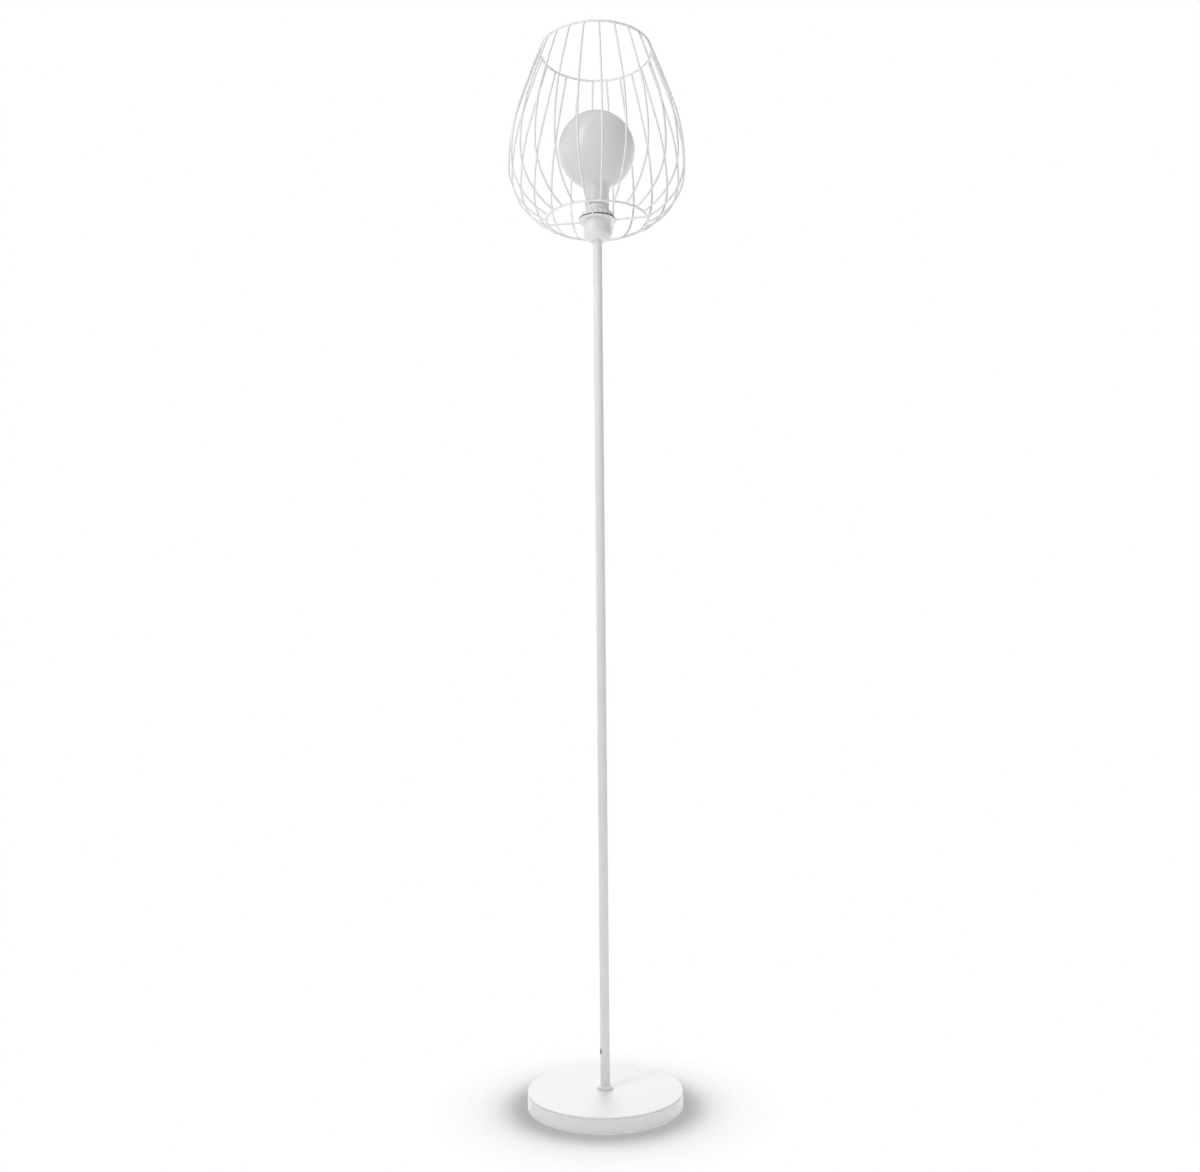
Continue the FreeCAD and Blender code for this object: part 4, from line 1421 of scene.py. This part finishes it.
@dataclass
class Cage(SubAssembly):
    """Hub plate, four spokes, two rings and twenty-four bent wires, welded and coated as one."""

    wires: int = 24
    spokes: int = 4
    wire: float = 1.5 * MM
    ring_wire: float = 1.75 * MM
    hub_inner: float = 19.0 * MM
    hub_edge: float = 0.4 * MM
    belly_height: float = 86.5 * MM
    lower_slope: float = math.radians(23.0)
    upper_lean: float = math.radians(22.0)
    joint_azimuth: float = math.radians(97.5)
    joint_swell: float = 0.12 * MM
    joint_length: float = 2.5 * MM
    weld_climb: float = 1.4 * MM
    hub_sides: int = 160
    ring_sides: int = 288
    straight_section: int = 20
    bent_section: int = 16
    spoke_points: int = 9

    def __post_init__(self) -> None:
        """Reads the places of the rings, the belly and the hub from the frame."""
        lower, upper = NodeBox.of("cage_lower_ring"), NodeBox.of("cage_upper_ring")
        self.hub_box = NodeBox.of("cage_hub")
        self.lower = np.array([lower.radius - self.ring_wire, (lower.bottom + lower.top) / 2.0])
        self.upper = np.array([upper.radius - self.ring_wire, (upper.bottom + upper.top) / 2.0])
        belly = NodeBox.of("cage_wires").radius - self.wire
        self.belly = np.array([belly, self.lower[1] + self.belly_height])
        self.leaving = np.array([math.cos(self.lower_slope), math.sin(self.lower_slope)])
        self.arriving = np.array([-math.sin(self.upper_lean), math.cos(self.upper_lean)])

    def build(self) -> None:
        """Makes every part of the cage and its welds."""
        wire_angles, spoke_angles = full_circle(self.wires), full_circle(self.spokes)
        edge = self.hub_edge
        hub = flat_ring(self.hub_box, self.hub_inner, edge, edge, self.hub_sides)
        x = np.linspace(self.hub_box.radius, self.lower[0], self.spoke_points)
        spoke = np.stack([x, np.full_like(x, self.lower[1])], axis=1)
        low = self.two_arcs(self.lower, self.leaving, self.belly, UP)
        high = self.two_arcs(self.belly, UP, self.upper, self.arriving)
        wire = np.concatenate([low, high[1:]])
        straight = self.wires_along(spoke, self.straight_section, spoke_angles)
        bent = self.wires_along(wire, self.bent_section, wire_angles)
        for name, surface, *stands_for in (
            ("hub_plate", hub, "cage_hub"),
            ("spoke_wires", straight, "cage_spokes"),
            ("lower_cage_ring", self.ring(self.lower), "cage_lower_ring"),
            ("bent_wires", bent, "cage_wires"),
            ("upper_cage_ring", self.ring(self.upper), "cage_upper_ring"),
            ("cage_welds", self.welds(wire_angles, spoke_angles)),
        ):
            self.place(name, surface, POWDER_COAT, Body.CAGE, *stands_for)

    def wires_along(self, path: Array, sides: int, angles: Array) -> Surface:
        """Wires along a path, one at each angle round the axis.

        Args:
            path: points (r, z) of a wire's axis.
            sides: how many places its section is divided into.
            angles: where the wires stand.

        Returns:
            The wires' surface.
        """
        grids = copies_round(swept(path, self.wire, sides), angles)
        return Surface().add(grids, wrap_rows=False, wrap_columns=True)

    def ring(self, centre: Array) -> Surface:
        """Wire ring, a little thicker where its two ends are butted and welded.

        The section's radius is the wire's plus a swell times exp(-(s / length)^2), where s is the
        distance along the ring from the joint.

        Args:
            centre: radius and height of the ring's centre line.

        Returns:
            The ring's surface.
        """
        angle = full_circle(self.ring_sides)[:, None]
        section = full_circle(self.straight_section)[None, :]
        apart = (angle - self.joint_azimuth + math.pi) % TAU - math.pi
        swell = self.joint_swell * np.exp(-((centre[0] * apart / self.joint_length) ** 2))
        wire = self.ring_wire + swell
        r = centre[0] + wire * np.cos(section)
        z = centre[1] + wire * np.sin(section)
        grid = np.stack([r * np.cos(angle), r * np.sin(angle), z], axis=-1)
        return Surface().add(grid, wrap_columns=True)

    def two_arcs(self, start: Array, leaving: Array, end: Array, arriving: Array) -> Array:
        """Points of two arcs, tangent to each other, from start along one heading to end.

        The arcs meet halfway between start + reach * leaving and end - reach * arriving. That
        reach is the one at which each arc touches its heading and the other arc.

        Args:
            start: where the first arc starts.
            leaving: unit heading there.
            end: where the second arc ends.
            arriving: unit heading there.

        Returns:
            Array of points (r, z).
        """
        chord = end - start
        bend = 2.0 * (1.0 - float(leaving @ arriving))
        along = float(chord @ (leaving + arriving))
        reach = (math.sqrt(along**2 + bend * float(chord @ chord)) - along) / bend
        meeting = (start + end + (leaving - arriving) * reach) / 2.0
        first = self.arc_along(start, leaving, meeting)
        second = self.arc_along(end, -arriving, meeting)[::-1]
        return np.concatenate([first, second[1:]])

    def arc_along(self, start: Array, heading: Array, end: Array, steps: int = 20) -> Array:
        """Points of the arc from start along a unit heading to end.

        Its centre lies beside start, square to the heading, at chord^2 / (2 chord . side).

        Args:
            start: where the arc starts.
            heading: unit heading there.
            end: where it ends.
            steps: how many runs it is drawn with.

        Returns:
            Array of points (r, z).
        """
        side = np.array([-heading[1], heading[0]])
        chord = end - start
        centre = start + side * float(chord @ chord) / (2.0 * float(chord @ side))
        return arc(centre, start, end, steps)

    def welds(self, wire_angles: Array, spoke_angles: Array) -> Surface:
        """Fillets at both ends of every wire and spoke.

        Args:
            wire_angles: where the bent wires stand.
            spoke_angles: where the spokes stand.

        Returns:
            The fillets' surface.
        """
        climb = self.ring_wire + self.weld_climb
        on_ring = {"wire": self.wire, "inside": -0.5 * MM, "height": climb, "spread": 2.8 * MM}
        on_hub = {"wire": self.wire, "inside": 0.15 * MM, "height": 2.2 * MM, "spread": 1.4 * MM}
        rim = np.array([self.hub_box.radius, self.lower[1]])
        surface = Surface()
        for weld, angles in (
            (Weld(self.lower, self.leaving, **on_ring), wire_angles),
            (Weld(self.upper, -self.arriving, **on_ring), wire_angles),
            (Weld(self.lower, -OUTWARDS, **on_ring), spoke_angles),
            (Weld(rim, OUTWARDS, **on_hub, squeeze=0.75), spoke_angles),
        ):
            surface.add(copies_round(weld.grid(), angles), wrap_rows=False, wrap_columns=True)
        return surface


@dataclass
class Bulb(SubAssembly):
    """Opal globe bulb: glass, screw shell, insulator, contact, and the filaments inside."""

    glass: float = 1.0 * MM
    neck: float = 19.0 * MM
    blend: float = 18.0 * MM
    neck_shoulder: float = 1.2 * MM
    seat_play: float = 0.3 * MM
    shell: float = 0.4 * MM
    shell_top_round: float = 0.1 * MM
    shell_depth: float = 0.85 * MM
    shell_edge: float = 0.15 * MM
    lip: float = 2.2 * MM
    plain_band: float = 5.0 * MM
    insulator_foot: float = 6.5 * MM
    insulator_round: float = 0.8 * MM
    insulator_top_round: float = 0.2 * MM
    contact_rise: float = 0.25 * MM
    contact_round: float = 0.7 * MM
    shoulder_steps: int = 8
    blend_steps: int = 12
    globe_steps: int = 72
    globe_sides: int = 160
    shell_sides: int = 112
    shell_step: float = 0.3 * MM
    insulator_sides: int = 96
    insulator_step: float = 2.0 * MM
    contact_sides: int = 64
    contact_step: float = 1.0 * MM

    def build(self) -> None:
        """Makes the glass, the shell, the insulator and the contact; finishes what is inside."""
        self.place("opal_globe", self.globe(), OPAL, Body.BULB, "bulb_globe")
        self.place("screw_shell", self.screw_shell(), NICKEL, Body.BULB, "bulb_cap")
        self.place("glass_insulator", self.insulator(), BLACK_GLASS, Body.BULB, "bulb_insulator")
        self.place("solder_contact", self.contact(), ZINC, Body.BULB_TIP, "bulb_contact")
        self.dress(CLEAR, "bulb_stem")
        self.dress(ZINC, "filament_leads")
        self.dress(FILAMENT_COAT, "bulb_filaments")

    def glass_side(self, inset: float) -> Array:
        """Points of one face of the glass, from the foot of the neck up to the axis.

        The globe's arc and the neck's straight side are joined by an arc of the blend's radius,
        whose centre lies beside the neck, globe + blend from the globe's centre.

        Args:
            inset: how far the face lies inside the outer one.

        Returns:
            Array of points (r, z).
        """
        box, shell = NodeBox.of("bulb_globe"), NodeBox.of("bulb_cap")
        globe, neck, blend = box.radius - inset, self.neck - inset, self.blend + inset
        centre = np.array([0.0, box.top - box.radius])
        foot_r = shell.radius - self.shell - self.seat_play - inset
        shoulder = shell.top + self.seat_play + inset
        drop = math.sqrt((globe + blend) ** 2 - (neck + blend) ** 2)
        beside = np.array([neck + blend, centre[1] - drop])
        neck_top = np.array([neck, beside[1]])
        touching = beside + unit(centre - beside) * blend
        foot, root = np.array([foot_r, box.bottom]), np.array([foot_r, shoulder])
        corner, bend = np.array([neck, shoulder]), self.neck_shoulder - inset
        parts = [
            foot[None, :],
            root[None, :],
            rounded_corner(root, corner, neck_top, bend, self.shoulder_steps),
            arc(beside, neck_top, touching, self.blend_steps),
            arc(centre, touching, centre + UP * globe, self.globe_steps)[1:],
        ]
        return np.concatenate(parts)

    def globe(self) -> Surface:
        """Glass with both faces, joined at the foot of the neck."""
        outer, inner = self.glass_side(0.0), self.glass_side(self.glass)
        return Surface().add(turned(np.concatenate([inner[::-1], outer]), self.globe_sides))

    def screw_shell(self) -> Surface:
        """Thin shell with a plain band at its rim and a round thread rolled into the sheet."""
        box = NodeBox.of("bulb_cap")
        inner = box.radius - self.shell
        corners = [
            Corner(inner, box.bottom),
            Corner(box.radius, box.bottom, self.shell_edge),
            Corner(box.radius, box.top, self.shell_edge),
            Corner(inner, box.top, self.shell_top_round),
        ]
        thread = Thread(
            wall=box.radius - self.shell / 2.0,
            bottom=box.bottom + self.lip,
            top=box.top - self.plain_band,
            pitch=BULB_PITCH,
            depth=self.shell_depth,
            flatness=ROUND_THREAD,
        )
        return lathe(corners, self.shell_sides, thread.shift, longest=self.shell_step)

    def insulator(self) -> Surface:
        """Glass plug with a shallow cone below the shell."""
        box, shell = NodeBox.of("bulb_insulator"), NodeBox.of("bulb_cap")
        corners = [
            Corner(0.0, box.bottom),
            Corner(self.insulator_foot, box.bottom, self.insulator_round),
            Corner(box.radius, shell.bottom, self.insulator_round),
            Corner(box.radius, box.top, self.insulator_top_round),
            Corner(0.0, box.top),
        ]
        return lathe(corners, self.insulator_sides, closed=False, longest=self.insulator_step)

    def contact(self) -> Surface:
        """Button of solder, a little domed."""
        box = NodeBox.of("bulb_contact")
        corners = [
            Corner(0.0, box.bottom),
            Corner(box.radius, box.bottom + self.contact_rise, self.contact_round),
            Corner(box.radius, box.top),
            Corner(0.0, box.top),
        ]
        return lathe(corners, self.contact_sides, closed=False, longest=self.contact_step)


# ---- Studio ----
@dataclass(frozen=True)
class PhotoCamera:
    """The camera that took the photograph, found from the ellipses of the base and the rings.

    Attributes:
        azimuth: how far it stands round from -Y, anticlockwise seen from above.
        distance: from the pole's axis.
        height: above the floor.
        sideways: how far it stands to the right of the line to the axis.
        tilt: how far it looks up.
        roll: how far the picture leans to the left.
        lens: focal length on a sensor 36 mm wide, in millimetres.
    """

    azimuth: float = math.radians(11.5)
    distance: float = 1.75
    height: float = 0.624
    sideways: float = -1.0 * MM
    tilt: float = 0.0813
    roll: float = 0.0093
    lens: float = 34.54

    def towards(self, right: float, elevation: float) -> Vector:
        """Unit vector from the lamp towards the camera's side, turned and raised.

        Args:
            right: how far it is turned to the right, in radians.
            elevation: how far it is raised.

        Returns:
            The vector.
        """
        angle = self.azimuth + right
        level = math.cos(elevation)
        return Vector((math.sin(angle) * level, -math.cos(angle) * level, math.sin(elevation)))

    def build(self) -> None:
        """Makes the camera and gives it to the scene."""
        data = bpy.data.cameras.new("photo_camera")
        data.lens, data.sensor_width = self.lens, 36.0
        data.clip_start, data.clip_end = 0.05, 60.0
        camera = add_object("photo_camera", data)
        right = Vector((math.cos(self.azimuth), math.sin(self.azimuth), 0.0))
        ahead = Vector((-math.sin(self.azimuth), math.cos(self.azimuth), 0.0))
        up = Vector((0.0, 0.0, 1.0))
        look = ahead * math.cos(self.tilt) + up * math.sin(self.tilt)
        over = up * math.cos(self.tilt) - ahead * math.sin(self.tilt)
        across = right * math.cos(self.roll) - over * math.sin(self.roll)
        above = right * math.sin(self.roll) + over * math.cos(self.roll)
        place = right * self.sideways - ahead * self.distance + up * self.height
        turn = Matrix((across, above, -look)).transposed().to_4x4()
        camera.matrix_world = Matrix.Translation(place) @ turn
        bpy.context.scene.camera = camera


@dataclass(frozen=True)
class SoftBox:
    """A rectangular soft light that faces the lamp.

    Attributes:
        name: its name.
        right: degrees to the right of the camera's side.
        elevation: degrees above level.
        distance: from what it is aimed at.
        aim: height that it is aimed at.
        width: its width.
        height: its height.
        level: how bright it makes a white surface that faces it, where 1 is full white.
        mirrored: whether gloss shows it.
    """

    name: str
    right: float
    elevation: float
    distance: float
    aim: float
    width: float
    height: float
    level: float
    mirrored: bool = False

    def build(self, camera: PhotoCamera) -> None:
        """Makes the light."""
        data = bpy.data.lights.new(self.name, "AREA")
        data.shape = "RECTANGLE"
        data.size, data.size_y = self.width, self.height
        data.energy = self.level * math.pi**2 * self.distance**2
        lamp = add_object(self.name, data)
        away = camera.towards(math.radians(self.right), math.radians(self.elevation))
        lamp.location = Vector((0.0, 0.0, self.aim)) + away * self.distance
        lamp.rotation_euler = away.to_track_quat("Z", "Y").to_euler()
        lamp.visible_camera = False
        lamp.visible_glossy = self.mirrored


@dataclass(frozen=True)
class Overhead:
    """Even light from above, as from a wide ceiling of cloth.

    Attributes:
        level: how bright it makes a white surface that faces up.
        spread: angle in degrees across which it comes in.
    """

    level: float = 0.31
    spread: float = 50.0

    def build(self) -> None:
        """Makes the light, which points straight down; gloss doesn't show it."""
        data = bpy.data.lights.new("overhead_cloth", "SUN")
        data.energy = self.level * math.pi
        data.angle = math.radians(self.spread)
        add_object("overhead_cloth", data).visible_glossy = False


@dataclass(frozen=True)
class Surroundings:
    """The room round the lamp.

    Attributes:
        front: how bright it is behind the camera, as light on the lamp.
        back: how bright it is behind the lamp.
        backdrop_end: sines of the elevations between which the white backdrop ends.
        ceiling: how bright gloss shows the room above the backdrop.
    """

    front: float = 0.19
    back: float = 0.42
    backdrop_end: tuple[float, float] = (0.34, 0.55)
    ceiling: float = 0.3

    def build(self, camera: PhotoCamera) -> None:
        """Makes the world.

        The camera sees plain white. Gloss sees a white backdrop that ends in a darker ceiling.
        What lights the lamp is dim on the camera's side and brighter behind the lamp.
        """
        world = bpy.data.worlds.new("room")
        world.use_nodes = True
        bpy.context.scene.world = world
        graph = Graph(world.node_tree)
        soft = {"interpolation_type": "SMOOTHSTEP"}
        direction = graph.add("ShaderNodeTexCoord", {}).outputs["Generated"]
        height = graph.add("ShaderNodeSeparateXYZ", {"Vector": direction}).outputs["Z"]
        gloss = graph.ranged(height, self.backdrop_end, (1.0, self.ceiling), **soft)
        behind = {0: direction, 1: -camera.towards(0.0, 0.0)}
        depth = graph.add("ShaderNodeVectorMath", behind, operation="DOT_PRODUCT").outputs["Value"]
        light = graph.ranged(depth, (-1.0, 1.0), (self.front, self.back), **soft)
        path = graph.add("ShaderNodeLightPath", {}).outputs
        plain = graph.math("MAXIMUM", path["Is Camera Ray"], path["Is Transmission Ray"])
        lit_or_mirrored = graph.choice(path["Is Glossy Ray"], light, gloss)
        strength = graph.choice(plain, lit_or_mirrored, 1.0)
        inputs = {"Color": (1.0, 1.0, 1.0, 1.0), "Strength": strength}
        background = graph.add("ShaderNodeBackground", inputs)
        graph.add("ShaderNodeOutputWorld", {"Surface": background.outputs[0]})


@dataclass(frozen=True)
class Floor:
    """Plain white floor that shows only the lamp's soft shadow.

    Attributes:
        size: side of the floor.
        level: its height, a hair below the lamp.
        colour: how much of the light it throws back on the lamp.
        shadow_reach: how far away what hides the room from the floor still darkens it.
        shadow_depth: how dark the shadow gets.
        shadow_rise: how fast it darkens with the share of the room that is hidden.
        shadow_rays: how many directions are tried at each point.
    """

    size: float = 14.0
    level: float = -0.2 * MM
    colour: Colour = (0.98, 0.98, 0.98)
    shadow_reach: float = 0.14
    shadow_depth: float = 0.55
    shadow_rise: float = 12.0
    shadow_rays: int = 16

    def build(self) -> None:
        """Makes the floor."""
        half = self.size / 2.0
        mesh = bpy.data.meshes.new("floor")
        corners = [(-half, -half), (half, -half), (half, half), (-half, half)]
        mesh.from_pydata([(x, y, self.level) for x, y in corners], [], [(0, 1, 2, 3)])
        mesh.materials.append(self.paper())
        add_object("floor", mesh)

    def shadow(self, graph: Graph) -> Socket:
        """Brightness from the share h of the room that is hidden: 1 - depth (1 - exp(-rise h))."""
        inputs = {"Distance": self.shadow_reach}
        opening = graph.add("ShaderNodeAmbientOcclusion", inputs, samples=self.shadow_rays)
        hidden = graph.math("SUBTRACT", 1.0, opening.outputs["AO"])
        left = graph.math("EXPONENT", graph.math("MULTIPLY", hidden, -self.shadow_rise))
        return graph.math("MULTIPLY_ADD", left, self.shadow_depth, 1.0 - self.shadow_depth)

    def paper(self) -> bpy.types.Material:
        """White to the camera apart from the shadow, an even pale floor to all other rays.

        From below it is clear, so that the lamp's underside can be looked at.
        """
        material = bpy.data.materials.new("floor_paper")
        material.use_nodes = True
        graph = Graph(material.node_tree)
        white = {"Color": (1.0, 1.0, 1.0, 1.0), "Strength": self.shadow(graph)}
        paper = graph.add("ShaderNodeBsdfDiffuse", {"Color": (*self.colour, 1.0)}).outputs[0]
        shown = graph.add("ShaderNodeEmission", white).outputs[0]
        clear = graph.add("ShaderNodeBsdfTransparent", {}).outputs[0]
        camera = graph.add("ShaderNodeLightPath", {}).outputs["Is Camera Ray"]
        below = graph.add("ShaderNodeNewGeometry", {}).outputs["Backfacing"]
        above = graph.add("ShaderNodeMixShader", {0: camera, 1: paper, 2: shown}).outputs[0]
        both = graph.add("ShaderNodeMixShader", {0: below, 1: above, 2: clear}).outputs[0]
        graph.add("ShaderNodeOutputMaterial", {"Surface": both})
        return material


@dataclass(frozen=True)
class Studio:
    """Camera, soft boxes, the light from above, the room and the floor."""

    camera: PhotoCamera = field(default_factory=PhotoCamera)
    lights: tuple[SoftBox, ...] = (
        SoftBox("key_strip", -48.0, 23.0, 1.41, 1.45, 0.37, 1.44, 0.28, mirrored=True),
        SoftBox("left_panel", -36.0, 25.0, 1.5, 1.45, 1.5, 1.3, 0.44),
        SoftBox("back_panel", 180.0, 50.0, 5.0, 0.1, 1.8, 1.2, 0.38),
        SoftBox("low_card", 55.0, 4.0, 1.0, 0.02, 1.0, 0.2, 0.08),
    )
    overhead: Overhead = field(default_factory=Overhead)
    room: Surroundings = field(default_factory=Surroundings)
    floor: Floor = field(default_factory=Floor)

    def build(self) -> None:
        """Makes the studio."""
        self.camera.build()
        for light in self.lights:
            light.build(self.camera)
        self.overhead.build()
        self.room.build(self.camera)
        self.floor.build()
        bpy.context.scene.view_settings.view_transform = "Standard"


def main() -> None:
    logging.basicConfig(level=logging.INFO, format="%(name)s: %(message)s")
    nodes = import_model()["nodes"]
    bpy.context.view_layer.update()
    for sub_assembly in (Base, Pole, Lampholder, ShadeRing, Cage, Bulb):
        sub_assembly(nodes).build()
    Studio().build()


if __name__ == "__main__":
    main()
